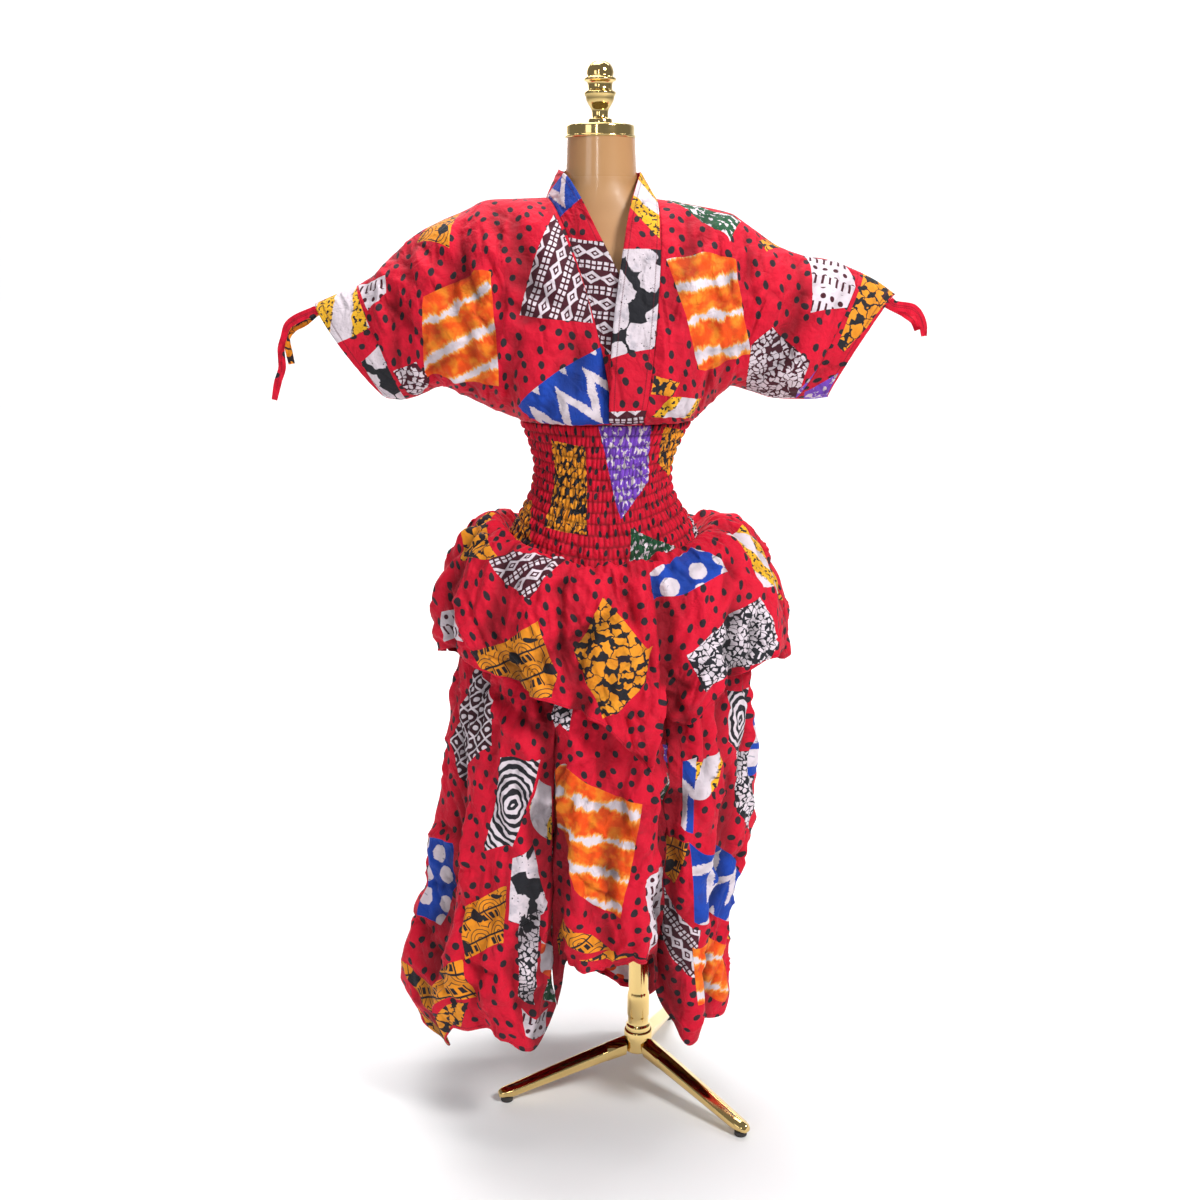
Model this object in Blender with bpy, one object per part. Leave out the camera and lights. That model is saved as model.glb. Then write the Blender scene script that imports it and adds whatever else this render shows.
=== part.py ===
"""A patchwork handkerchief dress worn by a limbless dress form on a three-legged stand.

Metres, +Z up. X runs across the dress, and its front faces -Y. While it is being modelled the
neck's axis is X = 0, Y = 0 and the floor is Z = 0. The last lines bring the origin under the
middle of the whole.

The cloth is a wall of constant thickness on smooth surfaces. Each surface is worked out from a
short table with a row for each section, and the panels that share a surface part at their seams.
"""
from math import atan2, cos, degrees, pi, radians, sin

import bmesh
import bpy
import numpy as np
from mathutils import Matrix, Vector

# Driving sizes
WALL = 0.0022            # a cotton panel with its turnings
BAND_WALL = 0.0020       # the folded bands and ties
GAP = 0.0003             # between two pieces at a seam
WAIST_HEIGHT = 1.171     # seam between the bodice and the smocked waist
WAIST_SEAM = WAIST_HEIGHT + GAP
WAIST_CENTRE = 0.0095
WAIST_HALF_WIDTH = 0.1375
WAIST_HALF_DEPTH = 0.100
HIP_CENTRE = 0.006       # the seam that both skirts hang from
HIP_HALF_WIDTH = 0.152
HIP_FRONT = 0.128
HIP_BACK = 0.114
POLE_X = 0.067
LEG_REACH = 0.236        # from the pole's axis to the middle of a foot
LEG_TURNS = (195.0, 315.0, 75.0)


for thing in list(bpy.data.objects):
    bpy.data.objects.remove(thing, do_unlink=True)


# Finishes
def finish(name, colour, roughness, metallic=0.0):
    material = bpy.data.materials.new(name)
    material.use_nodes = True
    shader = material.node_tree.nodes["Principled BSDF"]
    shader.inputs["Base Color"].default_value = (*colour, 1.0)
    shader.inputs["Roughness"].default_value = roughness
    shader.inputs["Metallic"].default_value = metallic
    return material


COTTON = finish("printed cotton", (0.60, 0.012, 0.035), 0.85)
TAN = finish("tan form", (0.47, 0.25, 0.12), 0.30)
GOLD = finish("polished brass", (0.85, 0.62, 0.24), 0.18, 1.0)
GLIDE = finish("dark glide", (0.03, 0.03, 0.03), 0.60)


# Meshes
def place(bm, name, material, smooth=True):
    """Make one object of a closed mesh, with its faces pointing out."""
    bmesh.ops.recalc_face_normals(bm, faces=bm.faces)
    mesh = bpy.data.meshes.new(name)
    bm.to_mesh(mesh)
    bm.free()
    mesh.materials.append(material)
    if smooth:
        mesh.shade_smooth()
        mesh.set_sharp_from_angle(angle=radians(40))
    piece = bpy.data.objects.new(name, mesh)
    bpy.context.scene.collection.objects.link(piece)
    return piece


def column(rows, x, value):
    """Read one column of a table at x, along a curve that keeps between its rows."""
    knots = np.array([row[0] for row in rows])
    values = np.array([row[value] for row in rows])
    steps = np.diff(knots)
    slopes = np.diff(values) / steps
    tangents = np.zeros(len(knots))
    tangents[0], tangents[-1] = slopes[0], slopes[-1]
    for i in range(1, len(knots) - 1):
        before, after = slopes[i - 1], slopes[i]
        if before * after > 0.0:
            tangents[i] = 2.0 * before * after / (before + after)
    i = int(np.clip(np.searchsorted(knots, x) - 1, 0, len(steps) - 1))
    h = steps[i]
    t = float(np.clip((x - knots[i]) / h, 0.0, 1.0))
    return float((2 * t**3 - 3 * t**2 + 1) * values[i] + (t**3 - 2 * t**2 + t) * h * tangents[i]
                 + (3 * t**2 - 2 * t**3) * values[i + 1] + (t**3 - t**2) * h * tangents[i + 1])


def turned(name, material, profile, segments, centre_x=0.0):
    """Turn a profile of (radius, height) rows, highest first, round a standing axis."""
    bm = bmesh.new()
    rings = []
    for radius, height in profile:
        ring = []
        for k in range(segments):
            angle = 2.0 * pi * k / segments
            ring.append(bm.verts.new((centre_x + radius * cos(angle), radius * sin(angle), height)))
        rings.append(ring)
    for upper, lower in zip(rings, rings[1:]):
        for k in range(segments):
            n = (k + 1) % segments
            bm.faces.new((upper[k], upper[n], lower[n], lower[k]))
    bm.faces.new(rings[0])
    bm.faces.new(rings[-1])
    return place(bm, name, material)


# The dress form: sections of the body, closed above by the neck's top and below by its base
FORM_TOP = 1.6015
FORM_BASE = 0.768
FORM = [  # height, centre x, centre y, half width, half depth
    (FORM_BASE, 0.040, 0.000, 0.080, 0.070),
    (0.774, 0.034, 0.000, 0.104, 0.086),
    (0.795, 0.022, 0.000, 0.134, 0.106),
    (0.840, 0.012, 0.000, 0.158, 0.122),
    (0.885, 0.008, 0.000, 0.162, 0.122),
    (0.930, 0.006, 0.000, 0.156, 0.116),
    (0.970, 0.005, 0.000, 0.142, 0.106),
    (1.010, 0.004, 0.000, 0.124, 0.096),
    (1.045, 0.004, 0.000, 0.1105, 0.0885),
    (1.075, 0.004, 0.000, 0.1050, 0.0860),
    (1.095, 0.005, 0.000, 0.1048, 0.0864),
    (1.115, 0.0055, 0.000, 0.1078, 0.0874),
    (1.140, 0.007, 0.000, 0.1170, 0.0885),
    (1.166, 0.009, 0.000, 0.1285, 0.0900),
    (1.220, 0.008, -0.001, 0.1310, 0.0915),
    (1.300, 0.006, -0.005, 0.1420, 0.0960),
    (1.370, 0.004, -0.005, 0.1510, 0.0950),
    (1.425, 0.003, -0.002, 0.1560, 0.089),
    (1.462, 0.002, 0.002, 0.1400, 0.0765),
    (1.490, 0.001, 0.002, 0.1050, 0.0660),
    (1.508, 0.001, 0.000, 0.0760, 0.0610),
    (1.530, 0.001, 0.000, 0.0585, 0.0575),
    (1.565, 0.001, 0.000, 0.0550, 0.0550),
    (FORM_TOP, 0.001, 0.000, 0.0535, 0.0535),
]
FORM_SEGMENTS = 32


def form_torso():
    bm = bmesh.new()
    rings = []
    for height, centre_x, centre_y, half_width, half_depth in FORM:
        ring = []
        for k in range(FORM_SEGMENTS):
            angle = 2.0 * pi * k / FORM_SEGMENTS
            ring.append(bm.verts.new((centre_x + half_width * cos(angle),
                                      centre_y + half_depth * sin(angle), height)))
        rings.append(ring)
    for lower, upper in zip(rings, rings[1:]):
        for k in range(FORM_SEGMENTS):
            n = (k + 1) % FORM_SEGMENTS
            bm.faces.new((lower[k], lower[n], upper[n], upper[k]))
    bm.faces.new(rings[0])
    bm.faces.new(rings[-1])
    return place(bm, "form_torso", TAN)


form_torso()

# Neck cap and finial, turned in brass
CAP_BASE = FORM_TOP + GAP
turned("neck_cap", GOLD, [
    (0.0505, 1.6212), (0.0528, 1.6200), (0.0534, 1.6180), (0.0534, 1.6062),
    (0.0550, 1.6050), (0.0550, 1.6030), (0.0540, CAP_BASE)], 32)
turned("finial", GOLD, [
    (0.0030, 1.7150), (0.0110, 1.7138), (0.0175, 1.7090), (0.0212, 1.7015), (0.0205, 1.6925),
    (0.0252, 1.6895), (0.0252, 1.6865), (0.0196, 1.6830), (0.0192, 1.6735), (0.0245, 1.6695),
    (0.0245, 1.6655), (0.0225, 1.6600), (0.0178, 1.6510), (0.0138, 1.6440), (0.0128, 1.6400),
    (0.0128, 1.6325), (0.0190, 1.6300), (0.0192, 1.6215)], 16)

# Stand: pole with its collars, hub, three legs and their glides
HUB_TOP = 0.104
HUB_BASE = 0.064
HUB_RADIUS = 0.0245
FOOT_HEIGHT = 0.009
turned("pole", GOLD, [
    (0.0300, FORM_BASE - GAP), (0.0300, FORM_BASE - 0.010), (0.0170, FORM_BASE - 0.014),
    (0.0170, 0.176), (0.0185, 0.172), (0.0195, 0.160), (0.0195, 0.132), (0.0182, 0.128),
    (0.0182, 0.116), (0.0215, 0.112), (0.0215, HUB_TOP + GAP)], 16, POLE_X)
turned("hub", GOLD, [
    (0.0225, HUB_TOP), (HUB_RADIUS, HUB_TOP - 0.003), (HUB_RADIUS, HUB_BASE + 0.004),
    (0.0200, HUB_BASE)], 24, POLE_X)

LEG = [  # reach, ridge height, shoulder height, underside height, half width
    (0.0000, 0.0990, 0.0890, 0.0680, 0.0165),
    (0.0600, 0.0830, 0.0735, 0.0545, 0.0165),
    (0.1300, 0.0620, 0.0530, 0.0360, 0.0152),
    (0.2000, 0.0395, 0.0315, 0.0170, 0.0138),
    (0.2300, 0.0300, 0.0225, 0.0093, 0.0130),
    (0.2440, 0.0260, 0.0190, 0.0093, 0.0110),
    (0.2510, 0.0215, 0.0160, 0.0096, 0.0065),
]


def leg(name, turn):
    """A tapering leg with a ridged top, its inner end square against the hub."""
    bm = bmesh.new()
    rings = []
    for reach, ridge, shoulder, underside, half_width in LEG:
        out = max(reach, HUB_RADIUS + GAP)
        section = [(0.0, ridge), (half_width, shoulder), (half_width, (shoulder + underside) / 2),
                   (half_width * 0.75, underside), (-half_width * 0.75, underside),
                   (-half_width, (shoulder + underside) / 2), (-half_width, shoulder)]
        rings.append([bm.verts.new((out, across, height)) for across, height in section])
    for inner, outer in zip(rings, rings[1:]):
        for k in range(len(inner)):
            n = (k + 1) % len(inner)
            bm.faces.new((inner[k], inner[n], outer[n], outer[k]))
    bm.faces.new(rings[0])
    bm.faces.new(rings[-1])
    bmesh.ops.rotate(bm, verts=bm.verts, matrix=Matrix.Rotation(radians(turn), 3, "Z"))
    bmesh.ops.translate(bm, verts=bm.verts, vec=(POLE_X, 0.0, 0.0))
    return place(bm, name, GOLD, smooth=False)


for number, turn in enumerate(LEG_TURNS, start=1):
    leg(f"leg_{number}", turn)
    foot = turned(f"foot_{number}", GLIDE, [
        (0.0085, FOOT_HEIGHT), (0.0105, FOOT_HEIGHT - 0.002), (0.0105, 0.0015), (0.0092, 0.0)], 16)
    foot.location = (POLE_X + LEG_REACH * cos(radians(turn)), LEG_REACH * sin(radians(turn)), 0.0)


# Cloth
def normal_of(surface, u, v, step_u=1e-4, step_v=1e-4):
    along_u = surface(u + step_u, v) - surface(u - step_u, v)
    along_v = surface(u, v + step_v) - surface(u, v - step_v)
    return along_v.cross(along_u)


def cloth(name, surface, us, vs, wall=WALL, relief=None, closed=False, inner_rows=None,
          outward=None, normals=None, limit=None):
    """Make a wall of cloth of the rows vs, each with the points us, under a smooth surface.

    surface(u, v) is its outer side. relief(u, v) raises the outer points, normals(u, v) replaces
    the surface's own directions, and limit(point) keeps a point on its side of a seam. A closed
    wall is a tube whose plain inside has inner_rows.
    """
    middle = (us[len(us) // 2], vs[len(vs) // 2])
    facing = 1.0
    if normals is None:
        facing = 1.0 if normal_of(surface, *middle).dot(outward) > 0.0 else -1.0
        normals = lambda u, v: normal_of(surface, u, v).normalized()
    keep = limit or (lambda point: point)

    def row(bm, v, depth, lift):
        verts = []
        for u in us:
            rise = lift(u, v) if lift else 0.0
            point = surface(u, v) + normals(u, v) * facing * (rise - depth)
            verts.append(bm.verts.new(keep(point)))
        return verts

    bm = bmesh.new()
    outer = [row(bm, v, 0.0, relief) for v in vs]
    inner = [row(bm, v, wall, None) for v in (inner_rows or vs)]
    count = len(us) if closed else len(us) - 1

    def skin(rows):
        for upper, lower in zip(rows, rows[1:]):
            for k in range(count):
                n = (k + 1) % len(us)
                bm.faces.new((upper[k], upper[n], lower[n], lower[k]))

    skin(outer)
    skin(inner)
    skin([outer[0], inner[0]])
    skin([outer[-1], inner[-1]])
    if not closed:
        for end in (0, -1):
            for j in range(len(outer) - 1):
                bm.faces.new((outer[j][end], outer[j + 1][end], inner[j + 1][end], inner[j][end]))
    return place(bm, name, COTTON)


def spread(low, high, count):
    return [float(x) for x in np.linspace(low, high, count + 1)]


# Bodice: a batwing whose ribs run from the shoulder line down to the waist or the underarm
LEFT_RIBS = [  # station, top x, top z, bottom x, bottom z, depth, bow, fullness, back depth
    (0.0, -0.0840, 1.5140, 0.0100, WAIST_SEAM, 0.1075, 0.0250, 2.3, 0.104),
    (1.0, -0.1290, 1.5120, -0.0600, WAIST_SEAM, 0.1180, 0.0060, 2.5, 0.106),
    (2.0, -0.1710, 1.5100, -0.1040, WAIST_SEAM, 0.1170, 0.0000, 2.6, 0.104),
    (2.8, -0.1980, 1.5000, -0.1240, WAIST_SEAM, 0.1110, 0.0000, 2.5, 0.100),
    (3.2, -0.2130, 1.4930, -0.1320, 1.1730, 0.1070, 0.0000, 2.4, 0.097),
    (4.0, -0.2450, 1.4800, -0.1650, 1.1850, 0.0990, 0.0000, 2.3, 0.091),
    (5.0, -0.2840, 1.4590, -0.2080, 1.2050, 0.0900, -0.0040, 2.2, 0.084),
    (6.0, -0.3220, 1.4280, -0.2520, 1.2230, 0.0790, -0.0060, 2.1, 0.074),
    (7.0, -0.3520, 1.3980, -0.2780, 1.2130, 0.0700, -0.0060, 2.0, 0.066),
    (8.0, -0.3770, 1.3820, -0.2960, 1.2060, 0.0620, -0.0060, 2.0, 0.060),
    (9.0, -0.4120, 1.3680, -0.3160, 1.2020, 0.0560, -0.0050, 2.0, 0.055),
    (10.0, -0.4470, 1.3530, -0.3380, 1.2040, 0.0520, -0.0040, 2.0, 0.052),
]
RIGHT_RIBS = [  # station, top x, top z, bottom x, bottom z, depth, bow, fullness, back depth
    (0.0, 0.0860, 1.5120, 0.0620, WAIST_SEAM, 0.1210, 0.0130, 2.6, 0.104),
    (1.0, 0.1280, 1.5050, 0.0980, WAIST_SEAM, 0.1205, 0.0040, 2.6, 0.106),
    (2.0, 0.1650, 1.4990, 0.1270, WAIST_SEAM, 0.1150, 0.0000, 2.6, 0.104),
    (2.8, 0.1930, 1.4930, 0.1430, WAIST_SEAM, 0.1090, 0.0000, 2.5, 0.100),
    (3.2, 0.2090, 1.4860, 0.1510, 1.1735, 0.1050, 0.0000, 2.4, 0.097),
    (4.0, 0.2420, 1.4640, 0.1740, 1.1960, 0.0970, 0.0000, 2.3, 0.090),
    (5.0, 0.2850, 1.4370, 0.2050, 1.2240, 0.0880, 0.0040, 2.2, 0.083),
    (6.0, 0.3220, 1.4250, 0.2380, 1.2160, 0.0790, 0.0060, 2.1, 0.074),
    (7.0, 0.3620, 1.4180, 0.2720, 1.2060, 0.0700, 0.0060, 2.0, 0.066),
    (8.0, 0.4020, 1.4030, 0.3080, 1.2030, 0.0620, 0.0060, 2.0, 0.060),
    (9.0, 0.4330, 1.3880, 0.3360, 1.2030, 0.0560, -0.0060, 2.0, 0.055),
    (10.0, 0.4640, 1.3670, 0.3640, 1.2060, 0.0520, -0.0150, 2.0, 0.052),
]
UNDERLAP = 0.0065        # how far the left front lies under the right at the waist
CUFF_SEAM = 8.0
CUFF_EDGE = 10.0
BODICE_FOLDS = [  # station, turn down the rib, height, spread in stations, spread in turn, lean
    (2.2, 1.05, -0.0060, 0.45, 0.75, 0.7),
    (3.3, 1.30, 0.0060, 0.45, 0.80, 0.6),
    (4.3, 1.55, -0.0070, 0.40, 0.85, 0.5),
    (5.2, 1.40, 0.0050, 0.40, 0.80, 0.4),
    (6.2, 1.70, -0.0050, 0.40, 0.75, 0.3),
    (7.1, 1.30, 0.0040, 0.40, 0.70, 0.2),
    (1.6, 2.40, 0.0045, 0.40, 0.45, -0.8),
    (2.7, 2.35, -0.0050, 0.40, 0.50, -0.7),
]
BACK_NECK = [  # x, height and y of the back neckline, bottom x at the waist
    (-1.0, -0.0840, 1.5140, 0.0000, -0.0500),
    (-0.8, -0.0740, 1.5125, 0.0260, -0.0380),
    (-0.5, -0.0520, 1.5110, 0.0560, -0.0210),
    (0.0, 0.0010, 1.5095, 0.0745, 0.0095),
    (0.5, 0.0540, 1.5100, 0.0560, 0.0400),
    (0.8, 0.0760, 1.5110, 0.0260, 0.0570),
    (1.0, 0.0860, 1.5120, 0.0000, 0.0690),
]
BACK_DEPTH = 0.104
BACK_FULLNESS = 2.6      # at the middle, less by BACK_TAPER for each station outwards
BACK_TAPER = 0.12
WAIST_PULL = 6           # how late a rib turns in to the waist


def waist_depth(x):
    across = (x - WAIST_CENTRE) / WAIST_HALF_WIDTH
    return WAIST_HALF_DEPTH * max(0.0, 1.0 - across**2) ** 0.5


def fold_height(folds, station, turn):
    total = 0.0
    for at_station, at_turn, height, wide, tall, lean in folds:
        across = (station - at_station - lean * (turn - at_turn)) / wide
        down = (turn - at_turn) / tall
        total += height * np.exp(-across**2 - down**2)
    return float(total)


def belly(turn, fullness):
    """How far the cloth stands out between the ends of a rib, 0 at both and 1 halfway."""
    bulge = max(0.0, 1.0 - abs(cos(turn)) ** fullness) ** 0.5
    return bulge if 0.0 <= turn <= pi else -bulge


def rib_point(ribs, station, turn, side, back=False):
    """A point of the bodice: turn is 0 at the shoulder line and pi at the lower end."""
    read = [column(ribs, station, c) for c in range(1, 9)]
    top_x, top_z, bottom_x, bottom_z, depth, bow, fullness, back_depth = read
    down = (1.0 - cos(turn)) / 2.0
    x = top_x + (bottom_x - top_x) * down + bow * sin(turn)
    z = top_z + (bottom_z - top_z) * down
    ring = waist_depth(bottom_x)
    if back:
        fullness = max(fullness, BACK_FULLNESS - BACK_TAPER * station)
    out = (back_depth if back else depth) * belly(turn, fullness) + ring * down**WAIST_PULL
    flat = sin(turn) ** 2
    out += flat * fold_height(BODICE_FOLDS, station, turn)
    if side < 0 and not back:
        out -= UNDERLAP * max(0.0, 1.0 - station) * down**3
    return Vector((x, out if back else -out, z))


def front_surface(ribs, side):
    return lambda station, turn: rib_point(ribs, station, turn, side)


def back_point(station, turn):
    """The back in one piece: stations under -1 and over 1 are the ribs of the two sides."""
    if abs(station) >= 1.0:
        ribs = LEFT_RIBS if station < 0.0 else RIGHT_RIBS
        side = -1.0 if station < 0.0 else 1.0
        point = rib_point(ribs, abs(station) - 1.0, turn, side, back=True)
        shift = BACK_NECK[0][4] if side < 0 else BACK_NECK[-1][4]
        weight = max(0.0, 1.0 - (abs(station) - 1.0) / 2.0)
        down = (1.0 - cos(turn)) / 2.0
        moved = (shift - ribs[0][3]) * weight * down
        ring_before = waist_depth(column(ribs, abs(station) - 1.0, 3))
        ring_after = waist_depth(column(ribs, abs(station) - 1.0, 3) + (shift - ribs[0][3]) * weight)
        point.x += moved - ribs[0][6] * sin(turn) * weight
        point.y += (ring_after - ring_before) * down**WAIST_PULL
        return point
    top_x, top_z, top_y, bottom_x = [column(BACK_NECK, station, c) for c in range(1, 5)]
    down = (1.0 - cos(turn)) / 2.0
    out = BACK_DEPTH * belly(turn, BACK_FULLNESS) + waist_depth(bottom_x) * down**WAIST_PULL
    out += top_y * (1.0 - down) ** 5
    return Vector((top_x + (bottom_x - top_x) * down, out, top_z + (WAIST_SEAM - top_z) * down))


def in_front(point):
    return Vector((point.x, min(point.y, -GAP / 2), point.z))


def behind(point):
    return Vector((point.x, max(point.y, GAP / 2), point.z))


RIB_TURNS = spread(0.0, pi, 9)
FRONT_STATIONS = [0.0, 0.9, 1.8, 2.6, 3.1, 3.6, 4.3, 5.1, 6.0, 7.0, CUFF_SEAM]
cloth("bodice_front_left", front_surface(LEFT_RIBS, -1), FRONT_STATIONS, RIB_TURNS,
      outward=Vector((0, -1, 0)), limit=in_front)
cloth("bodice_front_right", front_surface(RIGHT_RIBS, 1), FRONT_STATIONS, RIB_TURNS,
      outward=Vector((0, -1, 0)), limit=in_front)
NECK_STATIONS = [-1.0, -0.8, -0.5, -0.2, 0.0, 0.2, 0.5, 0.8, 1.0]
side_stations = [station + 1.0 for station in FRONT_STATIONS[1:]]
BACK_STATIONS = [-station for station in reversed(side_stations)] + NECK_STATIONS + side_stations
cloth("bodice_back", back_point, BACK_STATIONS, RIB_TURNS,
      outward=Vector((0, 1, 0)), limit=behind)


# Cuffs: the bands round the ends of the sleeves
def cuff_surface(ribs, side):
    def surface(turn, station):
        if turn <= pi:
            return rib_point(ribs, station, turn, side)
        return rib_point(ribs, station, 2.0 * pi - turn, side, back=True)
    return surface


CUFF_TURNS = RIB_TURNS + [2.0 * pi - turn for turn in reversed(RIB_TURNS[1:-1])]
CUFF_GAP = 0.012         # in stations, about a seam's gap
for name, ribs, side in (("cuff_left", LEFT_RIBS, -1), ("cuff_right", RIGHT_RIBS, 1)):
    surface = cuff_surface(ribs, side)
    rows = spread(CUFF_SEAM + CUFF_GAP, CUFF_EDGE, 3)
    cloth(name, surface, CUFF_TURNS, rows, BAND_WALL, closed=True, outward=Vector((0, 1, 0)))

# Neckbands: from the waist up each side of the opening, and round to the middle of the back
LEFT_EDGE = [  # turn down the front rib, x, y and height of the band's free edge
    (0.00, -0.0640, -0.0020, 1.5560),
    (0.45, -0.0500, -0.0450, 1.5440),
    (0.80, -0.0290, -0.0780, 1.5110),
    (1.15, -0.0080, -0.0990, 1.4700),
    (1.50, 0.0180, -0.1080, 1.4200),
    (1.80, 0.0400, -0.1125, 1.3680),
    (2.20, 0.0550, -0.1140, 1.2720),
    (2.70, 0.0600, -0.1030, 1.1920),
    (pi, 0.0600, -0.0878, WAIST_SEAM),
]
RIGHT_EDGE = [  # turn down the front rib, x, y and height of the band's free edge
    (0.00, 0.0630, -0.0020, 1.5520),
    (0.45, 0.0560, -0.0430, 1.5330),
    (0.80, 0.0440, -0.0830, 1.4930),
    (1.15, 0.0350, -0.1100, 1.4380),
    (1.50, 0.0265, -0.1190, 1.3800),
    (1.80, 0.0200, -0.1230, 1.3250),
    (2.20, 0.0150, -0.1290, 1.2440),
    (2.70, 0.0135, -0.1285, 1.1865),
    (pi, 0.0135, -0.1002, WAIST_SEAM),
]
BAND_GAP = 0.0005         # the band turns a little at its seam
BACK_EDGE = [  # station of the back neckline, x, y and height of the band's free edge
    (-1.0, -0.0640, 0.0020, 1.5560),
    (-0.8, -0.0600, 0.0260, 1.5550),
    (-0.5, -0.0430, 0.0470, 1.5530),
    (0.0, 0.0010, 0.0630, 1.5510),
    (0.5, 0.0450, 0.0470, 1.5510),
    (0.8, 0.0590, 0.0240, 1.5520),
    (1.0, 0.0630, 0.0020, 1.5520),
]


def neckband(name, ribs, side, edge):
    """Rows follow the bodice's own rows, so both sides of the seam have the same points."""
    reach = [station for station in NECK_STATIONS if 0.0 <= station * side < 1.0]
    stops = [("front", turn) for turn in reversed(RIB_TURNS)]
    stops += [("back", station) for station in sorted(reach, key=lambda station: -abs(station))]
    bodice = front_surface(ribs, side)
    last = float(len(stops) - 1)

    def between(across, stop):
        place_kind, place_on = stops[stop]
        if place_kind == "front":
            seam = bodice(0.0, place_on)
            free = Vector([column(edge, place_on, c) for c in (1, 2, 3)])
        else:
            seam = back_point(place_on, 0.0)
            free = Vector([column(BACK_EDGE, place_on, c) for c in (1, 2, 3)])
        start = seam + (free - seam).normalized() * BAND_GAP
        return start.lerp(free, across)

    def surface(across, stop):
        stop = float(np.clip(stop, 0.0, last))
        low = min(int(stop), len(stops) - 2)
        return between(across, low).lerp(between(across, low + 1), stop - low)

    def normals(across, stop):
        """The band's own direction, and the bodice's at the part of the seam below the collar."""
        own = normal_of(surface, across, stop, 0.2, 0.5).normalized() * side
        place_kind, place_on = stops[int(stop)]
        if place_kind == "back":
            return own
        shared = normal_of(bodice, 0.0, place_on).normalized()
        shared *= -1.0 if shared.y > 0.0 else 1.0
        weight = (1.0 - across) * float(np.clip((place_on - 0.6) / 0.5, 0.0, 1.0))
        return own.lerp(shared, weight).normalized()

    def own_side(point):
        """The two bands meet at the middle of the back."""
        centre = BACK_NECK[3][1] + side * GAP / 2
        if point.y > 0.03:
            point.x = min(point.x, centre) if side < 0 else max(point.x, centre)
        point.z = max(point.z, WAIST_SEAM)
        return point

    rows = [float(k) for k in range(len(stops))]
    cloth(name, surface, spread(0.0, 1.0, 2), rows, BAND_WALL, normals=normals, limit=own_side)


neckband("neckband_left", LEFT_RIBS, -1, LEFT_EDGE)
neckband("neckband_right", RIGHT_RIBS, 1, RIGHT_EDGE)

# Ties: flat strips sewn to the rim of each cuff near its upper corner
TIE_THICKNESS = 0.0020
TIE_ROOT_TURN = 0.50     # how far down the rim a tie is sewn
TIE_LEAD = 0.010         # straight stretch that leaves the rim square
TIE_GAP = 0.0005
LEFT_FRONT_TIE = [  # x, y, height and half width
    (-0.4760, -0.0190, 1.3290, 0.0070),
    (-0.4910, -0.0130, 1.3180, 0.0060),
    (-0.4985, -0.0075, 1.3010, 0.0050),
    (-0.5040, -0.0070, 1.2790, 0.0055),
    (-0.5030, -0.0080, 1.2560, 0.0060),
    (-0.5110, -0.0080, 1.2300, 0.0060),
    (-0.5180, -0.0070, 1.2020, 0.0045),
]
LEFT_BACK_TIE = [
    (-0.4700, 0.0170, 1.3240, 0.0075),
    (-0.4860, 0.0080, 1.3140, 0.0065),
    (-0.4960, 0.0010, 1.2960, 0.0055),
    (-0.4930, 0.0020, 1.2760, 0.0055),
    (-0.4900, 0.0030, 1.2580, 0.0050),
]
RIGHT_FRONT_TIE = [
    (0.4860, -0.0200, 1.3460, 0.0075),
    (0.5020, -0.0120, 1.3330, 0.0065),
    (0.5090, -0.0070, 1.3170, 0.0060),
    (0.5110, -0.0060, 1.3020, 0.0045),
]
RIGHT_BACK_TIE = [
    (0.4840, 0.0170, 1.3370, 0.0070),
    (0.4970, 0.0060, 1.3250, 0.0060),
    (0.5020, 0.0020, 1.3110, 0.0050),
]


def tie(name, ribs, side, back, rows):
    """A flat strip along a smooth route from the cuff's rim, its face towards Y."""
    def rim(station, depth=0.0):
        surface = front_surface(ribs, side) if not back else (
            lambda at, turn: rib_point(ribs, at, turn, side, back=True))
        normal = normal_of(surface, station, TIE_ROOT_TURN).normalized()
        normal *= 1.0 if normal.z > 0.0 else -1.0
        return surface(station, TIE_ROOT_TURN) - normal * depth

    root = rim(CUFF_EDGE, BAND_WALL / 2)
    lead = (root - rim(CUFF_EDGE - 0.3, BAND_WALL / 2)).normalized()
    start = root + lead * TIE_GAP
    route = [(*start, rows[0][3]), (*(start + lead * TIE_LEAD), rows[0][3])] + rows
    knots = [(float(i), *row) for i, row in enumerate(route)]
    last = float(len(route) - 1)
    count = 2 * (len(route) - 1)
    rings = []
    bm = bmesh.new()
    for j in range(count + 1):
        at = j / 2.0
        here = Vector([column(knots, at, c) for c in (1, 2, 3)])
        before = Vector([column(knots, max(at - 0.3, 0.0), c) for c in (1, 2, 3)])
        after = Vector([column(knots, min(at + 0.3, last), c) for c in (1, 2, 3)])
        along = (after - before).normalized()
        across = Vector((0, 1, 0)).cross(along).normalized() * column(knots, at, 4)
        face = along.cross(across).normalized() * TIE_THICKNESS / 2
        corners = (across + face, across - face, -across - face, -across + face)
        rings.append([bm.verts.new(here + corner) for corner in corners])
    for first, second in zip(rings, rings[1:]):
        for k in range(4):
            n = (k + 1) % 4
            bm.faces.new((first[k], first[n], second[n], second[k]))
    bm.faces.new(rings[0])
    bm.faces.new(rings[-1])
    return place(bm, name, COTTON)


tie("tie_left_front", LEFT_RIBS, -1, False, LEFT_FRONT_TIE)
tie("tie_left_back", LEFT_RIBS, -1, True, LEFT_BACK_TIE)
tie("tie_right_front", RIGHT_RIBS, 1, False, RIGHT_FRONT_TIE)
tie("tie_right_back", RIGHT_RIBS, 1, True, RIGHT_BACK_TIE)

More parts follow.
